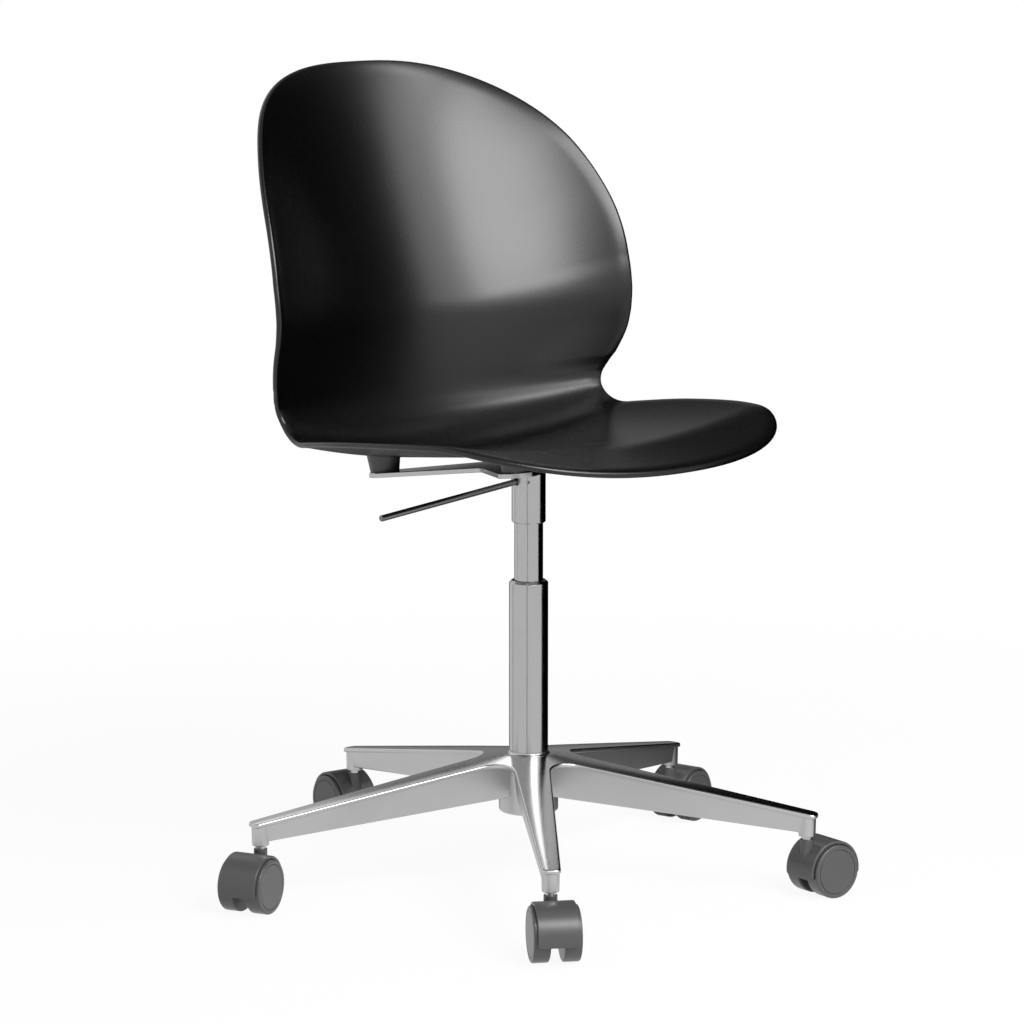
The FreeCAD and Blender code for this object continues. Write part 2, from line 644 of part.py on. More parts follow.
inserts = [Part.makeCylinder(insert_half, size("insert_length"), place).cut(
    Part.makeCylinder(screw_half + size("seat_fit"), size("insert_length"), place)) for place in boss_places]
shaped("boss_inserts", Part.makeCompound(inserts), raked)

# Shell: a centre line of straights and arcs, from the front edge over the seat, up the bend and
# the back. Across it the skin is a parabola whose hollow grows from the seat to the back.
seat_half, waist_half, back_half = (size(name) / 2 for name in ("seat_width", "waist_width", "back_width"))
front_hollow = size("front_dish") / seat_half ** 2
seat_hollow = size("seat_dish") / seat_half ** 2
back_hollow = size("back_dish") / back_half ** 2
top_hollow = size("top_dish") / back_half ** 2
seat_level = size("boss_height") + size("shell_thickness") - seat_hollow * side ** 2
corner = Vector(0, size("seat_rear"), seat_level)
centre_line = rounded([
    (Vector(0, -size("front_reach"), seat_level - size("lip_drop")), 0),
    (Vector(0, -size("lip_start"), seat_level), size("lip_radius")),
    (corner, size("bend_radius")),
    (corner + Vector(0, size("lumbar_setback"), size("lumbar_rise")), size("lumbar_radius")),
    (corner + Vector(0, size("top_setback"), size("top_rise")), 0),
], closed=False)
stretches = centre_line.OrderedEdges
starts = [sum(edge.Length for edge in stretches[:index]) for index in range(len(stretches) + 1)]
line_length = starts[-1]
SEAT, BEND = 2, 3
DISH_SOFTNESS = 0.08
bend_end = starts[BEND + 1]
seat_station = starts[SEAT] - stretches[SEAT].valueAt(stretches[SEAT].FirstParameter).y
waist_station = bend_end - size("waist_drop")
back_station = bend_end + size("back_widest")


def along_line(station):
    """The centre line's point and direction at a distance from the front edge."""
    index = max(i for i in range(len(stretches)) if i == 0 or starts[i] <= station)
    edge = stretches[index]
    share = (station - starts[index]) / edge.Length
    place = edge.FirstParameter + share * (edge.LastParameter - edge.FirstParameter)
    return edge.valueAt(place), edge.tangentAt(place)


def hollow(station):
    """Curvature across the skin at a distance from the front edge."""
    ahead = min(max(1 - station / starts[BEND], 0), 1)
    past = (station - bend_end + size("dish_lead")) / size("dish_run")
    grown = min((past + math.hypot(past, DISH_SOFTNESS)) / 2, 1)
    eased = max((station - line_length) / size("top_run") + 1, 0)
    return (seat_hollow + (front_hollow - seat_hollow) * ahead
            + (back_hollow - seat_hollow) * (1 - (1 - grown) ** 2)
            - (back_hollow - top_hollow) * eased ** 2)


def skin(station, across_line):
    """A point of the sitter's side of the shell."""
    point = along_line(station)[0]
    direction = along_line(station - size("turn_ease"))[1] + along_line(station + size("turn_ease"))[1]
    facing = Vector(0, -direction.z, direction.y).normalize()
    return point + Vector(across_line, 0, 0) + facing * (hollow(station) * across_line ** 2)


def ease(share):
    return share * share * (3 - 2 * share)


# Outline of the skin, laid flat: a superellipse at each end and a waist between them
FRONT_POWER, TOP_POWER = 2.65, 2.52
END_POINTS, FLANK_POINTS = 14, 6


def quarter(share, power):
    """A superellipse's quarter: its two coordinates, each from 0 to 1."""
    angle = share * math.pi / 2
    return math.cos(angle) ** (2 / power), math.sin(angle) ** (2 / power)


half_outline = []
for step in range(1, END_POINTS):
    along, over = quarter(step / END_POINTS, FRONT_POWER)
    half_outline.append((seat_station * (1 - along), seat_half * over))
for step in range(FLANK_POINTS):
    share = step / FLANK_POINTS
    half_outline.append((seat_station + share * (waist_station - seat_station),
                         seat_half - (seat_half - waist_half) * ease(share)))
for step in range(FLANK_POINTS):
    share = step / FLANK_POINTS
    half_outline.append((waist_station + share * (back_station - waist_station),
                         waist_half + (back_half - waist_half) * ease(share)))
for step in range(END_POINTS):
    over, along = quarter(step / END_POINTS, TOP_POWER)
    half_outline.append((back_station + along * (line_length - back_station), back_half * over))
outline = ([(0.0, 0.0)] + half_outline + [(line_length, 0.0)]
           + [(station, -half) for station, half in reversed(half_outline)])

SKIN_ROWS, SKIN_COLUMNS = 76, 9
margin = size("shell_thickness")
reach = max(seat_half, back_half) + 2 * margin
skin_surface = Part.BSplineSurface()
skin_surface.interpolate([[skin(-margin + (line_length + 2 * margin) * row / (SKIN_ROWS - 1),
                                reach * (1 - 2 * column / (SKIN_COLUMNS - 1)))
                           for column in range(SKIN_COLUMNS)] for row in range(SKIN_ROWS)])
rim = Part.Geom2d.BSplineCurve2d()
rim_places = [Base.Vector2d(*skin_surface.parameter(skin(*place))) for place in outline]
rim.interpolate(rim_places, PeriodicFlag=True)
skin_face = Part.Face(skin_surface, Part.Wire([rim.toShape(skin_surface)]))
skin_face.validate()
shell = skin_face.makeOffsetShape(-size("shell_thickness"), size("ball_room"), fill=True)
rim_edges = sorted(shell.Edges, key=lambda edge: -edge.Length)[:2]
shell = shell.makeFillet(size("rim_round"), rim_edges)
shaped("shell", shell, raked)

# Bosses between plate and shell: tapered, cut to the shell's underside, bored for the inserts
boss_growth = (size("boss_head") - size("boss_foot")) / 2 / size("boss_height")
boss_reach = size("boss_height") + 2 * size("shell_thickness")
bosses = []
for place in boss_places:
    foot_half = size("boss_foot") / 2
    blank = Part.makeCone(foot_half, foot_half + boss_growth * boss_reach, boss_reach, place)
    bore = Part.makeCylinder(insert_half + size("seat_fit"), size("insert_length") + size("end_play"), place)
    bosses.append(min(blank.cut([bore, shell]).Solids, key=lambda solid: solid.BoundBox.ZMin))
shaped("seat_bosses", Part.makeCompound(bosses), raked)

# Casters: one set of masters, placed at each socket with its own turn
ACROSS = Rotation(Vector(1, 0, 0), -90)
ACROSS_BACK = Rotation(Vector(1, 0, 0), 90)


def axle_cylinder(name, radius, length, low):
    """A cylinder along the axle with bound sizes."""
    return cylinder(name, radius, length, Placement(Vector(), ACROSS), x="trail", y=low, z="axle_level")


barrel = axle_cylinder("hood_barrel", "hood_radius", "hood_length", "-hood_length / 2")
neck = cylinder("hood_neck", "neck_diameter / 2", "neck_top - axle_level", z="axle_level")
wheel_room = "wheel_diameter / 2 + hood_gap"
cavities = [axle_cylinder("hood_cavity_left", wheel_room, "hood_length", "web_thickness / 2"),
            axle_cylinder("hood_cavity_right", wheel_room, "hood_length", "-web_thickness / 2 - hood_length")]
under = box("hood_under", ("4 * hood_radius", "4 * hood_radius", "2 * hood_radius"),
            ("trail - 2 * hood_radius", "-2 * hood_radius", "skirt_height - 2 * hood_radius"))
canopy = cut("hood_canopy", fuse("hood_blank", [barrel, neck]), cavities + [under])
axle_boss = axle_cylinder("hood_axle_boss", "axle_boss / 2", "web_thickness", "-web_thickness / 2")
stem_bore = cylinder("hood_stem_bore", "stem_foot_diameter / 2 + running_fit", "stem_foot_length + end_play",
                     z="neck_top - stem_foot_length - end_play")
axle_bore = axle_cylinder("hood_axle_bore", "axle_diameter / 2 + seat_fit", "2 * hood_length", "-hood_length")
hood = cut("hood", fuse("hood_body", [canopy, axle_boss]), [stem_bore, axle_bore])

axle_length = "2 * (wheel_inner + axle_depth - end_play)"
axle = axle_cylinder("axle", "axle_diameter / 2", axle_length, "-(wheel_inner + axle_depth - end_play)")
ring_edge = "wheel_diameter / 2 - wheel_ring"
wheel = lathe("wheel", [
    ("axle_diameter / 2 + running_fit", "0"),
    ("wheel_diameter / 2 - wheel_bevel", "0"),
    ("wheel_diameter / 2", "wheel_bevel"),
    ("wheel_diameter / 2", "wheel_width - wheel_bevel"),
    ("wheel_diameter / 2 - wheel_bevel", "wheel_width"),
    (ring_edge, "wheel_width"),
    (ring_edge + " - wheel_groove / 2", "wheel_width - wheel_groove"),
    (ring_edge + " - wheel_groove", "wheel_width"),
    ("0", "wheel_width"),
    ("0", "axle_depth"),
    ("axle_diameter / 2 + running_fit", "axle_depth"),
])
stem = lathe("stem", [
    ("0", "neck_top - stem_foot_length"),
    ("stem_foot_diameter / 2", "neck_top - stem_foot_length"),
    ("stem_foot_diameter / 2", "neck_top + end_play"),
    ("stem_diameter / 2", "neck_top + end_play"),
    ("stem_diameter / 2", "grip_level"),
    ("stem_diameter / 2 - grip_ring_depth", "grip_level"),
    ("stem_diameter / 2 - grip_ring_depth", "grip_level + grip_ring_height"),
    ("stem_diameter / 2", "grip_level + grip_ring_height"),
    ("stem_diameter / 2", "stem_top"),
    ("0", "stem_top"),
])
grip_ring = ring("grip_ring", "stem_diameter / 2 - grip_ring_depth + seat_fit", "stem_diameter / 2",
                 "grip_level", "grip_level + grip_ring_height")
doc.recompute()
wheel_offset = size("wheel_inner")
wheel_left = Placement(Vector(size("trail"), wheel_offset, size("axle_level")), ACROSS)
wheel_right = Placement(Vector(size("trail"), -wheel_offset, size("axle_level")), ACROSS_BACK)
grip_rings = []
for index, arm in enumerate(ARM_NAMES):
    socket = Rotation(Vector(0, 0, 1), arm_angle(index)).multVec(Vector(size("caster_circle"), 0, 0))
    turned = Placement(socket, Rotation(Vector(0, 0, 1), CASTER_TURNS[arm]))
    copy_of(f"caster_{arm}_stem", stem, turned)
    copy_of(f"caster_{arm}_hood", hood, turned)
    copy_of(f"caster_{arm}_axle", axle, turned)
    copy_of(f"caster_{arm}_wheel_left", wheel, turned.multiply(wheel_left))
    copy_of(f"caster_{arm}_wheel_right", wheel, turned.multiply(wheel_right))
    placed_ring = grip_ring.Shape.copy()
    placed_ring.Placement = turned
    grip_rings.append(placed_ring)
shaped("stem_grip_rings", Part.makeCompound(grip_rings))

# Checks, then one file for each piece
doc.recompute()
failed = [item.Name for item in doc.Objects if {"Invalid", "Error"} & set(item.State)]
if failed:
    raise RuntimeError(f"failed objects: {failed}")
broken = [label for label, item in pieces.items() if item.Shape.isNull() or not item.Shape.isValid()]
if broken:
    raise RuntimeError(f"pieces without a valid shape: {broken}")
os.makedirs("parts", exist_ok=True)
for label, item in pieces.items():
    item.Shape.exportStep(f"parts/{label}.step")
print(f"{len(pieces)} pieces written")
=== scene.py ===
import bmesh
import bpy
import math
import numpy as np
from mathutils import Matrix, Quaternion, Vector


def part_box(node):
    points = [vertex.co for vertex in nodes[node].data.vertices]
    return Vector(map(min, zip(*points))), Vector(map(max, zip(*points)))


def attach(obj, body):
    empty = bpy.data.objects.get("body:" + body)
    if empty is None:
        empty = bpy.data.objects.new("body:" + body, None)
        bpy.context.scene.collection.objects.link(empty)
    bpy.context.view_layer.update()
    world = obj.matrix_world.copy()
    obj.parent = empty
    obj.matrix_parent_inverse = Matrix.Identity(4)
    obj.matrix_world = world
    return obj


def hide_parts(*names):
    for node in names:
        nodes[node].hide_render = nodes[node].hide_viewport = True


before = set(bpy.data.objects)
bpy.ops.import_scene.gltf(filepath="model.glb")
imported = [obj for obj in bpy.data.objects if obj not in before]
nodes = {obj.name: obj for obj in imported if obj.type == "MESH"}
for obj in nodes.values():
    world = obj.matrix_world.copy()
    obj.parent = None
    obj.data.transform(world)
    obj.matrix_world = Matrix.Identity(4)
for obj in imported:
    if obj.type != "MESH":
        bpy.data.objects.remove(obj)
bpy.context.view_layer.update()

# Five-arm base: one aluminium casting, polished on top and left satin below. Tapered arms slope
# down from the column's seat; each has a thin rounded flange over drafted sides and ends in a
# socket that takes a caster's stem. The column's foot is pressed into the hub.
ARMS = 5
REAR_ARM = math.radians(90)
CASTER_CIRCLE = 0.276
ROOT_TOP = 0.1317
TIP_TOP = 0.084
ROOT_HALF = 0.01945
TIP_HALF = 0.00935
TIP_OVERHANG = 0.010
ARM_REACH = CASTER_CIRCLE + TIP_OVERHANG
TIP_CORNER = 0.006
VALLEY_RADIUS = 0.024
FLANGE_THICKNESS = 0.004
FLANGE_BEAD = 0.0015
FLANGE_UNDER_ROUND = 0.0006
ARM_CROWN = 0.0005
CROWN_START = 0.045
CROWN_RUN = 0.05
TOP_SLOPE = (ROOT_TOP - TIP_TOP) / CASTER_CIRCLE
TUBE_HALF = 0.019
COLLAR_STEP = 0.0013
COLLAR_TOP = ROOT_TOP + COLLAR_STEP - TOP_SLOPE * TUBE_HALF
COLLAR_SWEEP = 0.006
SPIGOT_HALF = 0.017
WEB_INSET = 0.0015
WEB_START, WEB_PAST_SOCKET = 0.0183, 0.0013
WEB_SPAN = (WEB_START, CASTER_CIRCLE + WEB_PAST_SOCKET)
WEB_ROOT = 0.0896
WEB_TIP = 0.0641
WEB_DRAFT = math.tan(math.radians(6))
WEB_ROUND = 0.0012
HUB_HALF = 0.029
HUB_FOOT = 0.0699
HUB_ROUND = 0.003
HUB_SINK = 0.8 * FLANGE_THICKNESS
SOCKET_HALF = 0.0082
SOCKET_GROWTH = 0.0003
SOCKET_ROUND = 0.0007
SOCKET_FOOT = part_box("base_star")[0].z
STEM_HALF = 0.005
STEM_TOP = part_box("caster_a_stem")[1].z
TAPER = (ROOT_HALF - TIP_HALF) / CASTER_CIRCLE
ARC_STEPS = 8
# A small turn keeps a cutter's edges off the edges of what it cuts
OFF_SPOKES = Matrix.Rotation(math.radians(2.3), 4, "Z")
SIDE_STEPS = 30
TOP_RINGS = 26
AROUND, AROUND_SMALL = 96, 48
WELD = 1e-7
EDGE_ANGLE = 35
CASTING_EDGE_ANGLE = 25


def rounded(corners, steps=ARC_STEPS, between=1):
    """Points round a closed run of (x, y, radius) corners, with an arc at each rounded corner."""
    count = len(corners)
    runs = []
    for index, (x, y, radius) in enumerate(corners):
        point = Vector((x, y))
        if radius <= 0:
            runs.append([point])
            continue
        back = (Vector(corners[index - 1][:2]) - point).normalized()
        ahead = (Vector(corners[(index + 1) % count][:2]) - point).normalized()
        half = back.angle(ahead) / 2
        centre = point + (back + ahead).normalized() * (radius / math.sin(half))
        start = point + back * (radius / math.tan(half)) - centre
        end = point + ahead * (radius / math.tan(half)) - centre
        turn = start.angle_signed(end)
        runs.append([centre + Matrix.Rotation(-turn * step / steps, 2) @ start
                     for step in range(steps + 1)])
    points = []
    for run, after in zip(runs, runs[1:] + runs[:1]):
        points.extend(run)
        points.extend(run[-1].lerp(after[0], step / between) for step in range(1, between))
    return points


def star_outline(inset):
    """The flange's outline, drawn in by an inset: every inset gives the same number of points."""
    step = math.pi / ARMS
    lean = inset * math.hypot(1, TAPER)
    half_root = ROOT_HALF - lean
    meet = half_root / (math.tan(step) + TAPER)
    reach = ARM_REACH - inset
    half_end = half_root - TAPER * reach
    corners = []
    for arm in range(ARMS):
        turn = Matrix.Rotation(REAR_ARM + 2 * step * arm, 2)
        for along, across, radius in ((meet, -meet * math.tan(step), VALLEY_RADIUS + inset),
                                      (reach, -half_end, TIP_CORNER - inset),
                                      (reach, half_end, TIP_CORNER - inset)):
            corners.append((*(turn @ Vector((along, across))), radius))
    return rounded(corners, between=SIDE_STEPS)


def arm_top(point):
    """Height of the arms' top at a point seen from above: a cone, with each arm slightly crowned."""
    radius = point.length
    off_axis = (math.atan2(point.y, point.x) - REAR_ARM + math.pi / ARMS) % (2 * math.pi / ARMS)
    off_axis -= math.pi / ARMS
    along = radius * math.cos(off_axis)
    across = radius * math.sin(off_axis) / (ROOT_HALF - TAPER * along)
    crowned = min(max((along - CROWN_START) / CROWN_RUN, 0), 1)
    return ROOT_TOP - TOP_SLOPE * radius + ARM_CROWN * crowned * (1 - across * across)


def stood(name, data):
    """A new object in the scene that shows a mesh, a lamp or a camera."""
    made = bpy.data.objects.new(name, data)
    bpy.context.scene.collection.objects.link(made)
    return made


def solid(name, rings, closed_rings=True, capped=False):
    """An object skinned over rings of points; the rings may close on themselves or get end caps."""
    mesh = bpy.data.meshes.new(name)
    work = bmesh.new()
    rows = [[work.verts.new(point) for point in ring] for ring in rings]
    pairs = list(zip(rows, rows[1:]))
    if closed_rings:
        pairs.append((rows[-1], rows[0]))
    for row, after in pairs:
        count = len(row)
        for index in range(count):
            ahead = (index + 1) % count
            work.faces.new((row[index], row[ahead], after[ahead], after[index]))
    if capped:
        work.faces.new(rows[0])
        work.faces.new(rows[-1])
    bmesh.ops.remove_doubles(work, verts=work.verts, dist=WELD)
    bmesh.ops.recalc_face_normals(work, faces=work.faces)
    work.to_mesh(mesh)
    work.free()
    return stood(name, mesh)


def turned(name, profile, around=AROUND, closed=False):
    """A turned solid about Z from (radius, height) points; an open profile runs from axis to axis."""
    angles = [2 * math.pi * step / around for step in range(around)]
    rings = [[(radius * math.cos(angle), radius * math.sin(angle), height) for angle in angles]
             for radius, height in profile]
    return solid(name, rings, closed_rings=closed)


def worked(base, tools, operation):
    """Base joined with, or cut by, every tool in turn; the tools are used up."""
    for tool in tools:
        step = base.modifiers.new(tool.name, "BOOLEAN")
        step.operation = operation
        step.solver = "EXACT"
        step.object = tool
    made = bpy.data.meshes.new_from_object(base.evaluated_get(bpy.context.evaluated_depsgraph_get()))
    base.modifiers.clear()
    base.data = made
    for tool in tools:
        bpy.data.objects.remove(tool)


def dressed(piece, material, body, stands_for=(), crease=EDGE_ANGLE):
    """Give a finished piece its shading, finish, slot, body and the nodes that it stands for."""
    piece.data.materials.clear()
    piece.data.materials.append(material)
    piece.data.shade_smooth()
    piece.data.set_sharp_from_angle(angle=math.radians(crease))
    even = piece.modifiers.new("even_normals", "WEIGHTED_NORMAL")
    even.keep_sharp = True
    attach(piece, body)
    if stands_for:
        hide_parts(*stands_for)


class Tone:
    """A value or colour on a surface: a socket, whose sums and products add Math nodes."""

    def __init__(self, tree, socket=None):
        self.tree = tree
        self.socket = socket

    def node(self, kind, settings=None, values=None, output=0):
        """Any node: its settings are set first, then its sockets are given values or links."""
        made = self.tree.nodes.new(kind)
        for name, value in (settings or {}).items():
            setattr(made, name, value)
        for name, value in (values or {}).items():
            if isinstance(value, Tone):
                self.tree.links.new(value.socket, made.inputs[name])
            else:
                made.inputs[name].default_value = value
        return Tone(self.tree, made.outputs[output])

    def maths(self, operation, first, second):
        return self.node("ShaderNodeMath", {"operation": operation}, {0: first, 1: second})

    def __add__(self, other):
        return self.maths("ADD", self, other)

    def __sub__(self, other):
        return self.maths("SUBTRACT", self, other)

    def __rsub__(self, other):
        return self.maths("SUBTRACT", other, self)

    def __mul__(self, other):
        return self.maths("MULTIPLY", self, other)

    __radd__ = __add__
    __rmul__ = __mul__

    def feed(self, socket):
        self.tree.links.new(self.socket, socket)


def finish(name, constants):
    """A material with constants set on its shader's own sockets, the shader, a start for its maths."""
    material = bpy.data.materials.new(name)
    material.use_nodes = True
    shader = material.node_tree.nodes["Principled BSDF"]
    for socket, value in constants.items():
        shader.inputs[socket].default_value = value
    return material, shader, Tone(material.node_tree)


def grey(level):
    return (level, level, level, 1)


def specks(tone, size, detail=2.0, stretch=(1, 1, 1)):
    """Noise about 0.5 with grains of a size in metres, drawn out by a stretch along each axis."""
    place = tone.node("ShaderNodeTexCoord", output="Object")
    place = tone.node("ShaderNodeMapping",
                      values={"Vector": place, "Scale": tuple(1 / factor for factor in stretch)})
    return tone.node("ShaderNodeTexNoise", values={"Vector": place, "Scale": 1 / size, "Detail": detail})


def blended(tone, factor, dark, light):
    """A colour between two greys by a factor."""
    return tone.node("ShaderNodeMix", {"data_type": "RGBA"},
                     {"Factor": factor, "A": grey(dark), "B": grey(light)}, output="Result")


def bumped(tone, height, depth):
    """A normal from a height between 0 and 1 that stands for a depth in metres."""
    return tone.node("ShaderNodeBump", values={"Height": height, "Distance": depth, "Strength": 1.0},
                     output="Normal")


METAL_PATCH, METAL_MARK = 0.035, 0.0007
MARK_DEPTH = 0.000004
MARK_SHARE = 0.6
UPRIGHT_FROM, UPRIGHT_TO = 0.1, 0.6


def metal(name, dark, light, roughness, haze, streak=(1, 1, 1), sides=0.0):
    """Bare metal: soft patches of two greys, a hazy gloss, fine marks; upright sides can be duller."""
    material, shader, tone = finish(name, {"Metallic": 1.0})
    patches = specks(tone, METAL_PATCH, detail=3.0)
    marks = specks(tone, METAL_MARK, detail=3.0, stretch=streak)
    blended(tone, patches, dark, light).feed(shader.inputs["Base Color"])
    gloss = roughness + haze * (MARK_SHARE * marks + (1 - MARK_SHARE) * patches - 0.5)
    normal = tone.node("ShaderNodeNewGeometry", output="Normal")
    upward = tone.node("ShaderNodeSeparateXYZ", values={0: normal}, output="Z")
    upright = tone.node("ShaderNodeMapRange", values={
        "Value": upward, "From Min": UPRIGHT_FROM, "From Max": UPRIGHT_TO,
        "To Min": sides, "To Max": 0.0})
    (gloss + upright).feed(shader.inputs["Roughness"])
    bumped(tone, marks, MARK_DEPTH).feed(shader.inputs["Normal"])
    return material


cast_aluminium = metal("cast_aluminium", dark=0.47, light=0.52, roughness=0.18, haze=0.08, sides=0.20)

bead_angles = [math.pi / 2 * step / ARC_STEPS for step in range(ARC_STEPS + 1)]
bead_drops = [FLANGE_BEAD * (1 - math.cos(angle)) for angle in bead_angles]
bead_outlines = [star_outline(FLANGE_BEAD * (1 - math.sin(angle))) for angle in bead_angles]
under_outline = star_outline(FLANGE_UNDER_ROUND)
edge_angles = [math.atan2(point.y, point.x) for point in bead_outlines[0]]


def circle_ring(radius, height):
    """A level circle with one point for each point of the flange's outline."""
    return [(radius * math.cos(angle), radius * math.sin(angle), height) for angle in edge_angles]


flange_rings = []
for inset_outline, drop in zip(bead_outlines, bead_drops):
    flange_rings.append([(p.x, p.y, arm_top(p) - drop) for p in inset_outline])
edge = bead_outlines[-1]
flange_rings.append([(p.x, p.y, arm_top(p) - FLANGE_THICKNESS + FLANGE_UNDER_ROUND) for p in edge])
flange_rings.append([(p.x, p.y, arm_top(p) - FLANGE_THICKNESS) for p in under_outline])
under_level = ROOT_TOP - TOP_SLOPE * TUBE_HALF - FLANGE_THICKNESS
flange_rings.append(circle_ring(SPIGOT_HALF, under_level))
flange_rings.append(circle_ring(SPIGOT_HALF, COLLAR_TOP))
flange_rings.append(circle_ring(TUBE_HALF, COLLAR_TOP))
sweep_foot = TUBE_HALF + COLLAR_SWEEP
for step in range(1, ARC_STEPS):
    share = step / ARC_STEPS
    radius = TUBE_HALF + COLLAR_SWEEP * share ** 2
    level = COLLAR_TOP + (ROOT_TOP - TOP_SLOPE * sweep_foot - COLLAR_TOP) * (1 - (1 - share) ** 2)
    flange_rings.append(circle_ring(radius, level))
inner_edge = bead_outlines[0]
for step in range(TOP_RINGS):
    share = step / TOP_RINGS
    ring = []
    for point in inner_edge:
        place = point * (sweep_foot / point.length)
        place = place.lerp(point, share)
        ring.append((place.x, place.y, arm_top(place)))
    flange_rings.append(ring)
base = solid("base_casting", flange_rings)


def web_ring(along, half):
    """An upright section of an arm below its flange, with its lower edges rounded."""
    high = ROOT_TOP - TOP_SLOPE * along - FLANGE_THICKNESS / 2
    low = WEB_ROOT - (WEB_ROOT - WEB_TIP) / CASTER_CIRCLE * along
    top_half = half - WEB_INSET
    low_half = top_half - (high - low) * WEB_DRAFT
    section = rounded([(-top_half, high, 0), (-low_half, low, WEB_ROUND),
                       (low_half, low, WEB_ROUND), (top_half, high, 0)])
    return [(along, across, level) for across, level in section]


hub_top = ROOT_TOP - TOP_SLOPE * HUB_HALF - HUB_SINK
hub = turned("hub", rounded([(SPIGOT_HALF, HUB_FOOT, 0), (HUB_HALF, HUB_FOOT, HUB_ROUND),
                             (HUB_HALF, hub_top, 0), (SPIGOT_HALF, hub_top, 0)]), closed=True)
castings, bores = [], []
socket_top = ROOT_TOP - TOP_SLOPE * (CASTER_CIRCLE + SOCKET_HALF) - FLANGE_THICKNESS / 2
for arm in range(ARMS):
    turn = Matrix.Rotation(REAR_ARM + 2 * math.pi / ARMS * arm, 4, "Z")
    web = solid("web", [web_ring(along, ROOT_HALF - TAPER * along) for along in WEB_SPAN],
                closed_rings=False, capped=True)
    socket = turned("socket", rounded([
        (0, SOCKET_FOOT, 0), (SOCKET_HALF, SOCKET_FOOT, SOCKET_ROUND),
        (SOCKET_HALF + SOCKET_GROWTH, socket_top, 0), (0, socket_top, 0)]), around=AROUND_SMALL)
    bore = turned("bore", [(0, 0), (STEM_HALF, 0), (STEM_HALF, STEM_TOP), (0, STEM_TOP)],
                  around=AROUND_SMALL)
    web.matrix_world = turn
    socket.matrix_world = turn @ Matrix.Translation((CASTER_CIRCLE, 0, 0))
    bore.matrix_world = socket.matrix_world @ OFF_SPOKES
    castings.extend((web, socket))
    bores.append(bore)
worked(hub, castings, "UNION")
worked(hub, bores, "DIFFERENCE")
merged = bmesh.new()
for part in (base, hub):
    merged.from_mesh(part.data)
merged.to_mesh(base.data)
merged.free()
bpy.data.objects.remove(hub)
dressed(base, cast_aluminium, "base", ["base_star"], crease=CASTING_EDGE_ANGLE)

# Column: a polished aluminium tube with its foot in the hub, closed by a plastic guide bush at
# its top. The bush guides the gas cylinder; a thrust bearing on the tube's floor carries the rod.
TUBE_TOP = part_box("column_tube")[1].z
TUBE_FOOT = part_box("column_tube")[0].z
TUBE_BORE_HALF = 0.016
TUBE_CHAMFER = 0.0022
TUBE_EDGE_ROUND = 0.0006
COLLAR_ROUND = 0.0003
BUSH_DEPTH = 0.095
LIP_HALF = 0.010
SPIGOT_BORE_HALF = 0.0147
LIP_HEIGHT = 0.003
LIP_TOP = TUBE_FOOT + LIP_HEIGHT
drawn_aluminium = metal("drawn_aluminium", dark=0.40, light=0.44, roughness=0.16, haze=0.08,
                        streak=(1, 1, 60))
tube = turned("column_sleeve", rounded([
    (LIP_HALF, TUBE_FOOT, 0),
    (SPIGOT_HALF, TUBE_FOOT, TUBE_EDGE_ROUND),
    (SPIGOT_HALF, COLLAR_TOP, 0),
    (TUBE_HALF, COLLAR_TOP, COLLAR_ROUND),
    (TUBE_HALF, TUBE_TOP - TUBE_CHAMFER, TUBE_EDGE_ROUND),
    (TUBE_HALF - TUBE_CHAMFER, TUBE_TOP, TUBE_EDGE_ROUND),
    (TUBE_BORE_HALF, TUBE_TOP, 0),
    (TUBE_BORE_HALF, TUBE_TOP - BUSH_DEPTH, 0),
    (SPIGOT_BORE_HALF, TUBE_TOP - BUSH_DEPTH, 0),
    (SPIGOT_BORE_HALF, LIP_TOP, 0),
    (LIP_HALF, LIP_TOP, 0),
]), closed=True)
dressed(tube, drawn_aluminium, "base", ["column_tube"])

PLASTIC_PATCH = 0.06


def plastic(name, dark, light, roughness, grain, depth, haze=0.06):
    """Moulded plastic: a fine spark-eroded grain of a size in metres over slow changes of gloss."""
    material, shader, tone = finish(name, {"IOR": 1.5, "Specular IOR Level": 0.5})
    slow = specks(tone, PLASTIC_PATCH)
    texture = specks(tone, grain, detail=3.0)
    blended(tone, 0.5 * slow + 0.5 * texture, dark, light).feed(shader.inputs["Base Color"])
    (roughness + haze * (0.5 * slow + 0.5 * texture - 0.5)).feed(shader.inputs["Roughness"])
    bumped(tone, texture, depth).feed(shader.inputs["Normal"])
    return material


def recoated(material, *names):
    """Give nodes that keep their own shape a finish."""
    for name in names:
        nodes[name].data.materials.clear()
        nodes[name].data.materials.append(material)
        nodes[name].data.shade_smooth()
        nodes[name].data.set_sharp_from_angle(angle=math.radians(EDGE_ANGLE))


black_plastic = plastic("black_plastic", dark=0.018, light=0.026, roughness=0.45, grain=0.0008,
                        depth=0.00001)
steel = metal("bright_steel", dark=0.46, light=0.52, roughness=0.22, haze=0.10)
rubber = plastic("seal_rubber", dark=0.020, light=0.030, roughness=0.70, grain=0.0005, depth=0.00002)
recoated(black_plastic, "guide_bush", "tube_floor", "ball_cage", "piston")
recoated(steel, "bearing_lower_race", "bearing_upper_race", "bearing_balls", "piston_rod", "rod_clip",
         "piston_nut")
recoated(rubber, "piston_seal", "cylinder_gland")

# Gas spring: a plated steel cylinder that slides in the bush and is wedged into the sleeve above.
# Its release button stands out of the top, under the lever.
plated_steel = metal("plated_steel", dark=0.40, light=0.44, roughness=0.14, haze=0.06, streak=(60, 60, 1))
recoated(plated_steel, "gas_cylinder")
recoated(steel, "release_button")

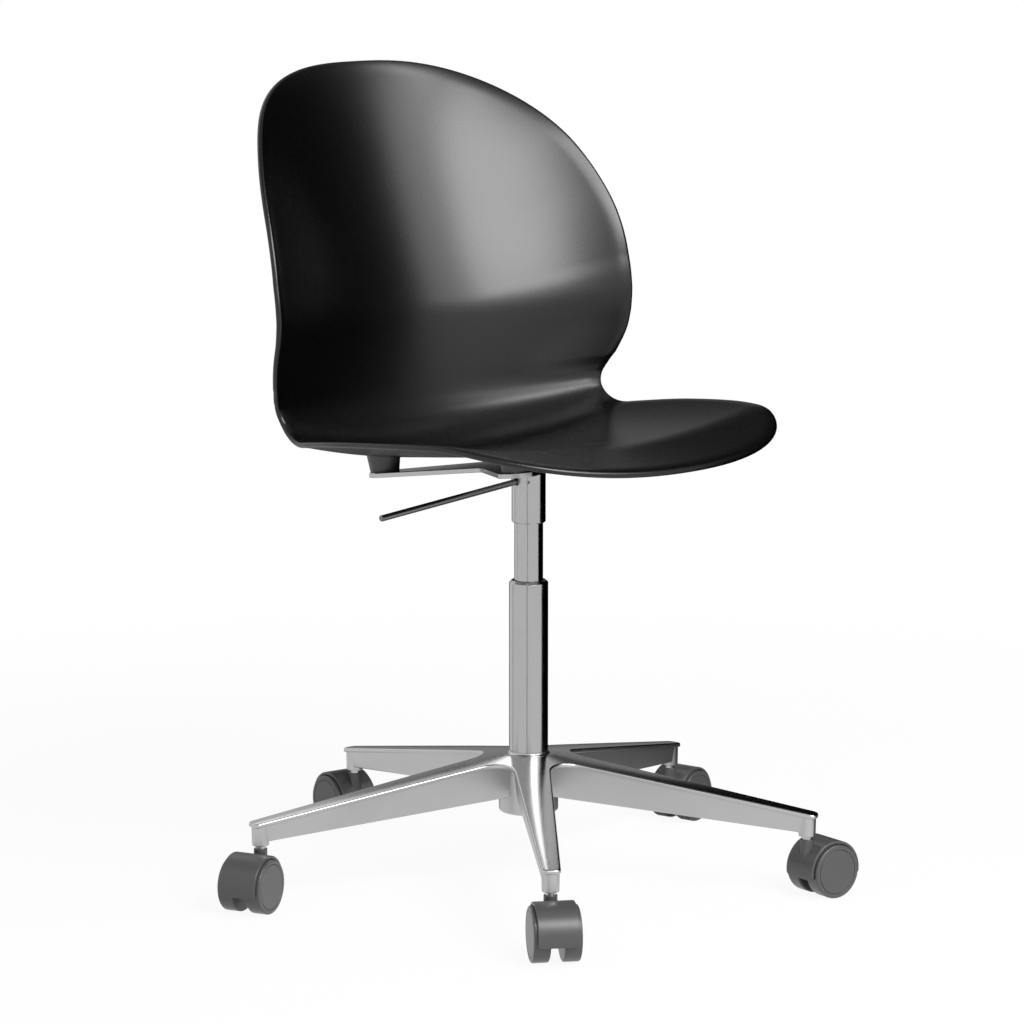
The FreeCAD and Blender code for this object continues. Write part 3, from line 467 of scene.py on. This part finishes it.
# Sleeve and lever: a turned aluminium sleeve, slotted for a straight steel rod that tips on a
# cross pin and presses the button.
# The lever's polished steel gets a dark grey in place of the black shell and dark surroundings that it
# mirrors: a painted reflection.
lever_steel_painted_dark = metal("lever_steel_painted_dark", dark=0.16, light=0.20, roughness=0.16, haze=0.06,
                       streak=(60, 1, 1))
recoated(drawn_aluminium, "sleeve")
recoated(lever_steel_painted_dark, "lever")
recoated(steel, "lever_pin")

# Support plate: an X cut from aluminium plate, its edges rounded over, screwed up into the bosses
# by four countersunk screws in brass inserts.
plate_aluminium = metal("plate_aluminium", dark=0.42, light=0.47, roughness=0.24, haze=0.10,
                        streak=(30, 1, 1))
recoated(plate_aluminium, "support_plate")
recoated(steel, "plate_screws")
BRASS_MARK = 0.0008
BRASS_DARK, BRASS_LIGHT = (0.48, 0.33, 0.11, 1), (0.58, 0.42, 0.16, 1)
BRASS_ROUGHNESS, BRASS_HAZE = 0.22, 0.12
brass_material, brass_shader, brass_tone = finish("insert_brass", {"Metallic": 1.0})
brass_marks = specks(brass_tone, BRASS_MARK)
brass_tone.node("ShaderNodeMix", {"data_type": "RGBA"},
                {"Factor": brass_marks, "A": BRASS_DARK, "B": BRASS_LIGHT},
                output="Result").feed(brass_shader.inputs["Base Color"])
(BRASS_ROUGHNESS + BRASS_HAZE * brass_marks).feed(brass_shader.inputs["Roughness"])
recoated(brass_material, "boss_inserts")

# Shell: seat and back in one injection-moulded plastic skin with a fully rounded rim. It is a
# line of straights and arcs from the front edge to the top, hollowed across by a parabola.
SEAT_RAKE = math.radians(7)
PLATE_THICKNESS = 0.0048
plate_low, plate_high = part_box("support_plate")
PLATE_TOP = (plate_low.z + plate_high.z) / 2 + PLATE_THICKNESS / 2 * math.cos(SEAT_RAKE)
SHELL_THICKNESS = 0.006
BOSS_HEIGHT = 0.0138
BOSS_SIDE = 0.098
SEAT_HALF, WAIST_HALF, BACK_HALF = 0.2185, 0.202, 0.2214
FRONT_REACH, LIP_START, LIP_DROP, LIP_RADIUS = 0.2201, 0.125, 0.019, 0.160
SEAT_REAR, BEND_RADIUS = 0.1469, 0.066
LUMBAR_RISE, LUMBAR_SETBACK, LUMBAR_RADIUS = 0.134, 0.0049, 0.100
TOP_RISE, TOP_SETBACK = 0.3879, 0.0733
WAIST_DROP, BACK_WIDEST = 0.0389, 0.0405
FRONT_DISH, SEAT_DISH, BACK_DISH, TOP_DISH = 0.0233, 0.0301, 0.0875, 0.0552
DISH_LEAD, DISH_RUN, TOP_RUN = 0.0154, 0.1729, 0.1189
DISH_SOFTNESS = 0.08
TURN_EASE = 0.008
FRONT_POWER, TOP_POWER = 2.65, 2.52
LINE_STEP = 0.00025
FLANK_STEPS = 60
END_STEPS = 90
ACROSS_CELLS, ALONG_CELLS = 120, 200
RIM_STEPS = 10
TURN_STEP = 0.002
SHELL_EDGE_ANGLE = 60

front_hollow = FRONT_DISH / SEAT_HALF ** 2
seat_hollow = SEAT_DISH / SEAT_HALF ** 2
back_hollow = BACK_DISH / BACK_HALF ** 2
top_hollow = TOP_DISH / BACK_HALF ** 2
seat_level = BOSS_HEIGHT + SHELL_THICKNESS - seat_hollow * BOSS_SIDE ** 2
line_corners = [
    (-FRONT_REACH, seat_level - LIP_DROP, 0),
    (-LIP_START, seat_level, LIP_RADIUS),
    (SEAT_REAR, seat_level, BEND_RADIUS),
    (SEAT_REAR + LUMBAR_SETBACK, seat_level + LUMBAR_RISE, LUMBAR_RADIUS),
    (SEAT_REAR + TOP_SETBACK, seat_level + TOP_RISE, 0),
]
# Where the line's heading changes, and how: constant along a straight, even along an arc
breaks, headings = [0.0], []
spare = 0.0
for here, after, later in zip(line_corners, line_corners[1:], line_corners[2:] + [None]):
    run = Vector(after[:2]) - Vector(here[:2])
    heading = math.atan2(run.y, run.x)
    if later is None:
        breaks.append(breaks[-1] + run.length - spare)
        headings.extend((heading, heading))
        break
    bend = Vector(later[:2]) - Vector(after[:2])
    turn = math.atan2(bend.y, bend.x) - heading
    tangent = after[2] * abs(math.tan(turn / 2))
    breaks.append(breaks[-1] + run.length - spare - tangent)
    breaks.append(breaks[-1] + after[2] * abs(turn))
    headings.extend((heading, heading))
    spare = tangent
line_length = breaks[-1]
bend_start, bend_end = breaks[3], breaks[4]
margin = SHELL_THICKNESS
fine = np.arange(-margin, line_length + margin, LINE_STEP)
middle_heading = np.interp(fine[:-1] + LINE_STEP / 2, breaks, headings)
fine_y = np.concatenate(([0], np.cumsum(np.cos(middle_heading)))) * LINE_STEP
fine_z = np.concatenate(([0], np.cumsum(np.sin(middle_heading)))) * LINE_STEP
fine_y += line_corners[0][0] - np.interp(0, fine, fine_y)
fine_z += line_corners[0][1] - np.interp(0, fine, fine_z)


def hollow(station):
    """Curvature across the skin at a distance from the front edge."""
    ahead = np.clip(1 - station / bend_start, 0, 1)
    past = (station - bend_end + DISH_LEAD) / DISH_RUN
    grown = np.minimum((past + np.hypot(past, DISH_SOFTNESS)) / 2, 1)
    eased = np.maximum((station - line_length) / TOP_RUN + 1, 0)
    return (seat_hollow + (front_hollow - seat_hollow) * ahead
            + (back_hollow - seat_hollow) * (1 - (1 - grown) ** 2)
            - (back_hollow - top_hollow) * eased ** 2)


def skin(flat):
    """Points of the sitter's side for rows of (station, across)."""
    station, across = flat[:, 0], flat[:, 1]
    before, after = (np.interp(station + shift, breaks, headings) for shift in (-TURN_EASE, TURN_EASE))
    heading = (before + after) / 2
    rise = hollow(station) * across ** 2
    return np.stack((across,
                     np.interp(station, fine, fine_y) - np.sin(heading) * rise,
                     np.interp(station, fine, fine_z) + np.cos(heading) * rise), axis=1)


def slopes(flat):
    """The skin's directions along and across at each row."""
    along = skin(flat + [LINE_STEP, 0]) - skin(flat - [LINE_STEP, 0])
    across = skin(flat + [0, LINE_STEP]) - skin(flat - [0, LINE_STEP])
    return along / (2 * LINE_STEP), across / (2 * LINE_STEP)


def unit(vectors):
    return vectors / np.linalg.norm(vectors, axis=1, keepdims=True)


def facing(flat):
    """The skin's normals, towards the sitter."""
    along, across = slopes(flat)
    return unit(np.cross(across, along))


seat_station = bend_start - (SEAT_REAR - BEND_RADIUS * math.tan((headings[4] - headings[3]) / 2))
waist_station = bend_end - WAIST_DROP
back_station = bend_end + BACK_WIDEST


def ease(share):
    return share * share * (3 - 2 * share)


def quarter(count, power):
    """A superellipse's quarter: its two coordinates, each from 0 to 1."""
    angle = np.linspace(0, math.pi / 2, count)
    return np.cos(angle) ** (2 / power), np.sin(angle) ** (2 / power)


front_along, front_over = quarter(END_STEPS, FRONT_POWER)
top_over, top_along = quarter(END_STEPS, TOP_POWER)
share = np.linspace(0, 1, FLANK_STEPS)
half_outline = np.concatenate((
    np.stack((seat_station * (1 - front_along), SEAT_HALF * front_over), axis=1)[:-1],
    np.stack((seat_station + share * (waist_station - seat_station),
              SEAT_HALF - (SEAT_HALF - WAIST_HALF) * ease(share)), axis=1)[:-1],
    np.stack((waist_station + share * (back_station - waist_station),
              WAIST_HALF + (BACK_HALF - WAIST_HALF) * ease(share)), axis=1)[:-1],
    np.stack((back_station + top_along * (line_length - back_station), BACK_HALF * top_over), axis=1)))
half_outline[-1, 1] = 0
rim_run = np.concatenate(([0], np.cumsum(np.linalg.norm(np.diff(half_outline, axis=0), axis=1))))


def rim_at(turn):
    """The outline's point at a turn of -pi/2 (front edge) to pi/2 (top edge) and round the other side."""
    folded = np.arcsin(np.clip(np.sin(turn), -1, 1))
    run = (folded / math.pi + 0.5) * rim_run[-1]
    side = np.where(np.cos(turn) >= 0, 1.0, -1.0)
    return np.stack((np.interp(run, rim_run, half_outline[:, 0]),
                     side * np.interp(run, rim_run, half_outline[:, 1])), axis=1)


def outward(turn):
    """Points of the outline, the skin's directions there, and the direction off the rim in the skin."""
    flat = rim_at(turn)
    along, across = slopes(flat)
    run = rim_at(turn + TURN_STEP) - rim_at(turn - TURN_STEP)
    course = unit(along * run[:, :1] + across * run[:, 1:])
    normal = unit(np.cross(across, along))
    return flat, along, across, np.cross(course, normal)


# A square net laid over a disc, and the disc over the outline, drawn in by the rim's radius
RIM_RADIUS = SHELL_THICKNESS / 2
ROLL_WIDTH, ROLL_DEPTH = 0.014, 0.0011
net_q, net_p = np.meshgrid(np.linspace(-1, 1, ALONG_CELLS + 1), np.linspace(-1, 1, ACROSS_CELLS + 1),
                           indexing="ij")
disc_x = net_p * np.sqrt(1 - net_q ** 2 / 2)
disc_y = net_q * np.sqrt(1 - net_p ** 2 / 2)
turns = np.arctan2(disc_y, disc_x).ravel()
spread = np.hypot(disc_x, disc_y).ravel()[:, None]
flat_rim, rim_along, rim_across, rim_out = outward(turns)
gram_aa = np.sum(rim_along * rim_along, axis=1)
gram_ac = np.sum(rim_along * rim_across, axis=1)
gram_cc = np.sum(rim_across * rim_across, axis=1)
pull_a = np.sum(rim_along * rim_out, axis=1)
pull_c = np.sum(rim_across * rim_out, axis=1)
area = gram_aa * gram_cc - gram_ac ** 2
inward = -RIM_RADIUS * np.stack((gram_cc * pull_a - gram_ac * pull_c,
                                 gram_aa * pull_c - gram_ac * pull_a), axis=1)
drawn_in = flat_rim + inward / area[:, None]
net_centre = np.array([waist_station, 0.0])
net_flat = net_centre + spread * (drawn_in - net_centre)
to_rim = np.linalg.norm(skin(drawn_in) - skin(net_flat), axis=1, keepdims=True)
roll = np.maximum(1 - to_rim / ROLL_WIDTH, 0)
roll_slope = 2 * ROLL_DEPTH / ROLL_WIDTH * roll
net_facing = facing(net_flat)
net_skin = skin(net_flat) - ROLL_DEPTH * roll ** 2 * net_facing
net_side = unit(rim_out - roll_slope * net_facing)
net_facing = unit(net_facing + roll_slope * rim_out)
net_under = net_skin - SHELL_THICKNESS * net_facing
net_index = np.arange(net_q.size).reshape(net_q.shape)
rim_loop = np.concatenate((net_index[0, :-1], net_index[:-1, -1],
                           net_index[-1, :0:-1], net_index[:0:-1, 0]))
rim_centre = net_skin[rim_loop] - RIM_RADIUS * net_facing[rim_loop]
rim_side = net_side[rim_loop]
shell_points = [net_skin, net_under]
count = net_q.size
rim_rows = [rim_loop]
for step in range(1, RIM_STEPS):
    angle = math.pi * step / RIM_STEPS
    off_centre = math.cos(angle) * net_facing[rim_loop] + math.sin(angle) * rim_side
    shell_points.append(rim_centre + RIM_RADIUS * off_centre)
    rim_rows.append(2 * count + (step - 1) * len(rim_loop) + np.arange(len(rim_loop)))
rim_rows.append(rim_loop + count)
shell_points = np.concatenate(shell_points)
corners = np.stack((net_index[:-1, :-1], net_index[:-1, 1:],
                    net_index[1:, 1:], net_index[1:, :-1]), axis=2)
shell_faces = corners.reshape(-1, 4).tolist() + (corners[:, :, ::-1] + count).reshape(-1, 4).tolist()
for row, after in zip(rim_rows, rim_rows[1:]):
    row_ahead, after_ahead = np.roll(row, -1), np.roll(after, -1)
    shell_faces.extend(np.stack((row_ahead, row, after, after_ahead), axis=1).tolist())
shell_mesh = bpy.data.meshes.new("moulded_shell")
shell_mesh.from_pydata(shell_points.tolist(), [], shell_faces)
rake = Matrix.Translation((0, 0, PLATE_TOP)) @ Matrix.Rotation(-SEAT_RAKE, 4, "X")
shell_mesh.transform(rake)
shell = stood("moulded_shell", shell_mesh)
shell_plastic = plastic("shell_plastic", dark=0.0006, light=0.0012, roughness=0.27, grain=0.0011,
                        depth=0.000004, haze=0.05)
dressed(shell, shell_plastic, "seat", ["shell"], crease=SHELL_EDGE_ANGLE)
boss_plastic = plastic("boss_plastic", dark=0.050, light=0.065, roughness=0.45, grain=0.0008,
                       depth=0.00001)
recoated(boss_plastic, "seat_bosses")

# Casters: a bright steel stem turns in each socket; it carries a moulded hood whose middle wall
# holds the axle, and two wheels run on the axle, each with a stepped disc on its outer face.
CASTERS = "abcde"
AXLE_LEVEL = 0.02625
WHEEL_HALF = 0.02625
WHEEL_WIDTH = 0.016
WHEEL_INNER = 0.0065
WHEEL_BEVEL = 0.0016
DISC_EDGE = 0.0042
DISC_GROOVE = 0.0008
DISC_ROUND = DISC_GROOVE / 3
WHEEL_EDGE_ANGLE = 40
AXLE_HALF = 0.003
AXLE_DEPTH = 0.012
HOOD_HALF_LENGTH = 0.01925
HOOD_INNER, HOOD_OUTER = 0.02715, 0.02975
HOOD_ROUND = 0.0009
HOOD_CORNER = 0.0035
HOOD_END = math.radians(-12.1)
WALL_HALF = 0.006
AXLE_BOSS_HALF = 0.008
NECK_HALF = 0.0065
NECK_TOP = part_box("caster_a_hood")[1].z
NECK_ROUND = 0.0008
TRAIL = 0.020
STEM_ROOM = 0.00405
HOOD_STEPS = 72
caster_plastic = plastic("caster_plastic", dark=0.060, light=0.074, roughness=0.32, grain=0.0009,
                         depth=0.000006)
wheel_profile = rounded([
    (AXLE_HALF, 0, 0),
    (WHEEL_HALF, 0, WHEEL_BEVEL),
    (WHEEL_HALF, WHEEL_WIDTH, WHEEL_BEVEL),
    (WHEEL_HALF - DISC_EDGE, WHEEL_WIDTH, DISC_ROUND),
    (WHEEL_HALF - DISC_EDGE - DISC_GROOVE / 2, WHEEL_WIDTH - DISC_GROOVE, DISC_ROUND / 2),
    (WHEEL_HALF - DISC_EDGE - DISC_GROOVE, WHEEL_WIDTH, DISC_ROUND),
    (0, WHEEL_WIDTH, 0),
    (0, AXLE_DEPTH, 0),
    (AXLE_HALF, AXLE_DEPTH, 0),
], steps=5)
wheel = turned("wheel", wheel_profile, closed=True)

hood_rings = []
for step in range(HOOD_STEPS + 1):
    # Steps crowd towards both ends, where the band's corners are rounded
    angle = math.pi / 2 - (math.pi / 2 - HOOD_END) * math.sin(math.pi * (0.5 - step / HOOD_STEPS))
    to_end = min(angle - HOOD_END, math.pi - HOOD_END - angle) * HOOD_OUTER
    short = max(HOOD_CORNER - to_end, 0)
    half = HOOD_HALF_LENGTH - HOOD_CORNER + math.sqrt(max(HOOD_CORNER ** 2 - short ** 2, 0))
    section = rounded([(HOOD_INNER, -half, 0), (HOOD_OUTER, -half, HOOD_ROUND),
                       (HOOD_OUTER, half, HOOD_ROUND), (HOOD_INNER, half, 0)], steps=4)
    hood_rings.append([(TRAIL + radius * math.cos(angle), across, AXLE_LEVEL + radius * math.sin(angle))
                       for radius, across in section])
hood = solid("hood", hood_rings, closed_rings=False, capped=True)
wall_angles = [HOOD_END + (math.pi - 2 * HOOD_END) * step / HOOD_STEPS for step in range(HOOD_STEPS + 1)]
wall_reach = (HOOD_INNER + HOOD_OUTER) / 2
wall_side = [(TRAIL + wall_reach * math.cos(angle), AXLE_LEVEL + wall_reach * math.sin(angle))
             for angle in wall_angles]
wall = solid("wall", [[(x, hand * WALL_HALF, z) for x, z in wall_side] for hand in (-1, 1)],
             closed_rings=False, capped=True)
axle_boss = turned("axle_boss", [(0, -WALL_HALF), (AXLE_BOSS_HALF, -WALL_HALF),
                                 (AXLE_BOSS_HALF, WALL_HALF), (0, WALL_HALF)], around=AROUND_SMALL)
axle_boss.matrix_world = Matrix.Translation((TRAIL, 0, AXLE_LEVEL)) @ Matrix.Rotation(math.pi / 2, 4, "X")
neck = turned("neck", rounded([(0, AXLE_LEVEL, 0), (NECK_HALF, AXLE_LEVEL, 0),
                               (NECK_HALF, NECK_TOP, NECK_ROUND), (0, NECK_TOP, 0)]), around=AROUND_SMALL)
wheel_spaces = []
for hand in (-1, 1):
    space = turned("wheel_space", [(0, WALL_HALF), (HOOD_INNER, WALL_HALF), (HOOD_INNER, HOOD_OUTER),
                                   (0, HOOD_OUTER)])
    space.matrix_world = (Matrix.Translation((TRAIL, 0, AXLE_LEVEL))
                          @ Matrix.Rotation(hand * math.pi / 2, 4, "X"))
    wheel_spaces.append(space)
stem_hole = turned("stem_hole", [(0, AXLE_LEVEL), (STEM_ROOM, AXLE_LEVEL), (STEM_ROOM, 2 * NECK_TOP),
                                 (0, 2 * NECK_TOP)], around=AROUND_SMALL)
worked(hood, [wall, axle_boss, neck], "UNION")
worked(hood, wheel_spaces + [stem_hole], "DIFFERENCE")

for caster in CASTERS:
    stem_low, stem_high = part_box(f"caster_{caster}_stem")
    axle_low, axle_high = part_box(f"caster_{caster}_axle")
    socket_place = (stem_low + stem_high) / 2
    trail = (axle_low + axle_high) / 2 - socket_place
    placed = (Matrix.Translation((socket_place.x, socket_place.y, 0))
              @ Matrix.Rotation(math.atan2(trail.y, trail.x), 4, "Z"))
    caster_hood = stood(f"hood_{caster}", hood.data.copy())
    caster_hood.matrix_world = placed
    dressed(caster_hood, caster_plastic, f"caster_{caster}", [f"caster_{caster}_hood"])
    for side, hand in (("left", 1), ("right", -1)):
        caster_wheel = stood(f"wheel_{caster}_{side}", wheel.data.copy())
        caster_wheel.matrix_world = (placed @ Matrix.Translation((TRAIL, hand * WHEEL_INNER, AXLE_LEVEL))
                                     @ Matrix.Rotation(-hand * math.pi / 2, 4, "X"))
        dressed(caster_wheel, caster_plastic, f"wheel_{caster}_{side}",
                [f"caster_{caster}_wheel_{side}"], crease=WHEEL_EDGE_ANGLE)
    recoated(steel, f"caster_{caster}_stem", f"caster_{caster}_axle")
recoated(steel, "stem_grip_rings")
bpy.data.objects.remove(hood)
bpy.data.objects.remove(wheel)

# Studio: a pale floor that turns white away from the chair, soft lamps, and a camera where the
# photograph was taken from: a long lens, high and to the sitter's right.
CAMERA_AZIMUTH = math.radians(-40.2)
CAMERA_DISTANCE = 4.13387
CAMERA_HEIGHT = 1.08244
CAMERA_PITCH = math.radians(-9.8465)
CAMERA_YAW = math.radians(-0.2231)
FOCAL_PIXELS = 4346.886
FRAME_PIXELS = 1024
SENSOR = 36.0
FARTHEST_SEEN = 100.0
camera_data = bpy.data.cameras.new("camera")
camera_data.sensor_width = SENSOR
camera_data.lens = FOCAL_PIXELS / FRAME_PIXELS * SENSOR
camera_data.clip_end = FARTHEST_SEEN
camera = stood("camera", camera_data)
heading = CAMERA_AZIMUTH - CAMERA_YAW
look = Vector((-math.sin(heading) * math.cos(CAMERA_PITCH), math.cos(heading) * math.cos(CAMERA_PITCH),
               math.sin(CAMERA_PITCH)))
camera.location = (CAMERA_DISTANCE * math.sin(CAMERA_AZIMUTH),
                   -CAMERA_DISTANCE * math.cos(CAMERA_AZIMUTH), CAMERA_HEIGHT)
camera.rotation_mode = "QUATERNION"
camera.rotation_quaternion = look.to_track_quat("-Z", "Y")
bpy.context.scene.camera = camera
bpy.context.scene.view_settings.view_transform = "Standard"


def seen_rays(tone):
    """1 for the rays that show the background: straight, mirrored or through glass."""
    seen = tone.node("ShaderNodeLightPath", output="Is Camera Ray")
    for kind in ("Is Glossy Ray", "Is Transmission Ray"):
        seen = tone.maths("MAXIMUM", seen, tone.node("ShaderNodeLightPath", output=kind))
    return seen


AMBIENT = 0.35
world = bpy.data.worlds.new("studio")
bpy.context.scene.world = world
world.use_nodes = True
world_tone = Tone(world.node_tree)
backdrop = world.node_tree.nodes["Background"]
backdrop.inputs["Color"].default_value = grey(1.0)
(AMBIENT + (1 - AMBIENT) * seen_rays(world_tone)).feed(backdrop.inputs["Strength"])

FLOOR_HALF = 30.0
FLOOR_FADE = (0.5, 1.6)
FLOOR_WHITE = 0.93
FLOOR_GREY, FLOOR_ROUGHNESS = 0.9, 0.8
floor_mesh = bpy.data.meshes.new("floor")
floor_corners = [(x * FLOOR_HALF, y * FLOOR_HALF, 0) for x, y in ((-1, -1), (1, -1), (1, 1), (-1, 1))]
floor_mesh.from_pydata(floor_corners, [], [(0, 1, 2, 3)])
floor = stood("floor", floor_mesh)
floor_material, floor_shader, floor_tone = finish(
    "floor_paper", {"Base Color": grey(FLOOR_GREY), "Roughness": FLOOR_ROUGHNESS})
floor_place = floor_tone.node("ShaderNodeTexCoord", output="Object")
away = floor_tone.node("ShaderNodeVectorMath", {"operation": "LENGTH"}, {0: floor_place}, output="Value")
fade = floor_tone.node("ShaderNodeMapRange", {"interpolation_type": "SMOOTHSTEP"},
                       {"Value": away, "From Min": FLOOR_FADE[0], "From Max": FLOOR_FADE[1],
                        "To Min": FLOOR_WHITE, "To Max": 1.0})
white = floor_tone.node("ShaderNodeEmission", values={"Color": grey(1.0), "Strength": 1.0})
paper = Tone(floor_tone.tree, floor_shader.outputs[0])
floor_mix = floor_tone.node("ShaderNodeMixShader",
                            values={0: fade * seen_rays(floor_tone), 1: paper, 2: white})
floor_mix.feed(floor_tone.tree.nodes["Material Output"].inputs["Surface"])
floor_mesh.materials.append(floor_material)

KEY_RADIANCE, FILL_RADIANCE, CREASE_RADIANCE = 8.5, 2.2, 12.0
RIM_RADIANCE, STRIP_RADIANCE = 0.7, 1.9
KEY_ROLL = 22
LAMP_AIM = Vector((0, 0, 0.5))


def soft_box(name, azimuth, elevation, distance, width, height, radiance, roll=0):
    """A lamp whose face glows at a radiance, aimed at the chair from an azimuth off +X and an
    elevation, and rolled about its axis, all in degrees."""
    data = bpy.data.lights.new(name, "AREA")
    data.shape = "RECTANGLE"
    data.size = width
    data.size_y = height
    data.energy = radiance * math.pi * width * height
    made = stood(name, data)
    around, up = math.radians(azimuth), math.radians(elevation)
    outwards = Vector((math.cos(up) * math.cos(around), math.cos(up) * math.sin(around), math.sin(up)))
    made.location = LAMP_AIM + distance * outwards
    made.rotation_mode = "QUATERNION"
    towards = (LAMP_AIM - made.location).to_track_quat("-Z", "Y")
    made.rotation_quaternion = towards @ Quaternion((0, 0, 1), math.radians(roll))
    return made


soft_box("key_box", azimuth=-94, elevation=36, distance=3.0, width=1.75, height=1.65,
         radiance=KEY_RADIANCE, roll=KEY_ROLL)
soft_box("fill_box", azimuth=-82, elevation=36, distance=3.1, width=3.2, height=1.65,
         radiance=FILL_RADIANCE, roll=KEY_ROLL)
soft_box("crease_box", azimuth=-53, elevation=47, distance=3.0, width=0.9, height=0.25,
         radiance=CREASE_RADIANCE)
# Two lamps behind the chair light the base alone: a wide dim one, and a strip that draws the white
# band along the front arm.
base_only = bpy.data.collections.new("base_only")
base_only.objects.link(base)
rim_box = soft_box("rim_box", azimuth=57, elevation=32, distance=2.4, width=1.1, height=1.3,
                   radiance=RIM_RADIANCE)
rim_strip = soft_box("rim_strip", azimuth=54, elevation=32, distance=2.3, width=0.22, height=1.3,
                     radiance=STRIP_RADIANCE)
for rim_lamp in (rim_box, rim_strip):
    rim_lamp.light_linking.receiver_collection = base_only

# Cards round the chair, out of the camera's sight, that the glossy surfaces mirror: black at the
# sitter's left, grey behind and overhead.
CARD_RADIUS, CARD_FLOOR, CEILING = 2.6, 0.002, 3.6
CARD_STEPS = 24
LEFT_SPAN, BACK_SPAN, SIDE_SPAN = (-48, 40), (40, 62), (62, 86)
NEAR_EDGE, BACK_TOP = 0.45, 1.0
SLIT_START, SLIT_TOP = 0.35, 1.2


def card(name, level, rings, azimuths):
    """A curved card over a span of azimuths, through (radius, height) rings, glowing at a level."""
    first, last = (math.radians(angle) for angle in azimuths)
    points = []
    for radius, height in rings:
        for step in range(CARD_STEPS + 1):
            angle = first + (last - first) * step / CARD_STEPS
            points.append((radius * math.cos(angle), radius * math.sin(angle), height))
    width = CARD_STEPS + 1
    starts = [row * width + step for row in range(len(rings) - 1) for step in range(CARD_STEPS)]
    faces = [(start, start + 1, start + width + 1, start + width) for start in starts]
    mesh = bpy.data.meshes.new(name)
    mesh.from_pydata(points, [], faces)
    material, _, _ = finish(name, {"Base Color": grey(0.0), "Roughness": 1.0, "Specular IOR Level": 0.0,
                                   "Emission Color": grey(level), "Emission Strength": 1.0})
    mesh.materials.append(material)
    made = stood(name, mesh)
    made.visible_camera = False
    made.visible_diffuse = False
    made.visible_shadow = False


card("black_card", 0.0, [(NEAR_EDGE, CARD_FLOOR), (CARD_RADIUS, CARD_FLOOR), (CARD_RADIUS, 3.4)],
     LEFT_SPAN)
card("near_card", 0.22, [(0.2, CARD_FLOOR), (NEAR_EDGE, CARD_FLOOR)], LEFT_SPAN)
card("under_card", 0.06, [(0.12, CARD_FLOOR), (CARD_RADIUS, CARD_FLOOR)], BACK_SPAN)
card("back_card", 0.26, [(CARD_RADIUS, CARD_FLOOR), (CARD_RADIUS, BACK_TOP)], BACK_SPAN)
card("high_card", 0.04, [(CARD_RADIUS, BACK_TOP), (CARD_RADIUS, 3.55)], BACK_SPAN)
card("side_floor", 0.2, [(0.3, CARD_FLOOR), (CARD_RADIUS, CARD_FLOOR)], SIDE_SPAN)
card("side_card", 0.62, [(CARD_RADIUS, CARD_FLOOR), (CARD_RADIUS, 1.8)], SIDE_SPAN)
slit_rings = [(SLIT_START, CARD_FLOOR), (CARD_RADIUS, CARD_FLOOR), (CARD_RADIUS, SLIT_TOP)]
card("left_slit", 0.2, slit_rings, (122.8, 126.4))
card("front_slit", 0.2, slit_rings, (219.2, 222.8))
card("ceiling_card", 0.35, [(0.0, CEILING), (CARD_RADIUS, CEILING)], (-180, 180))
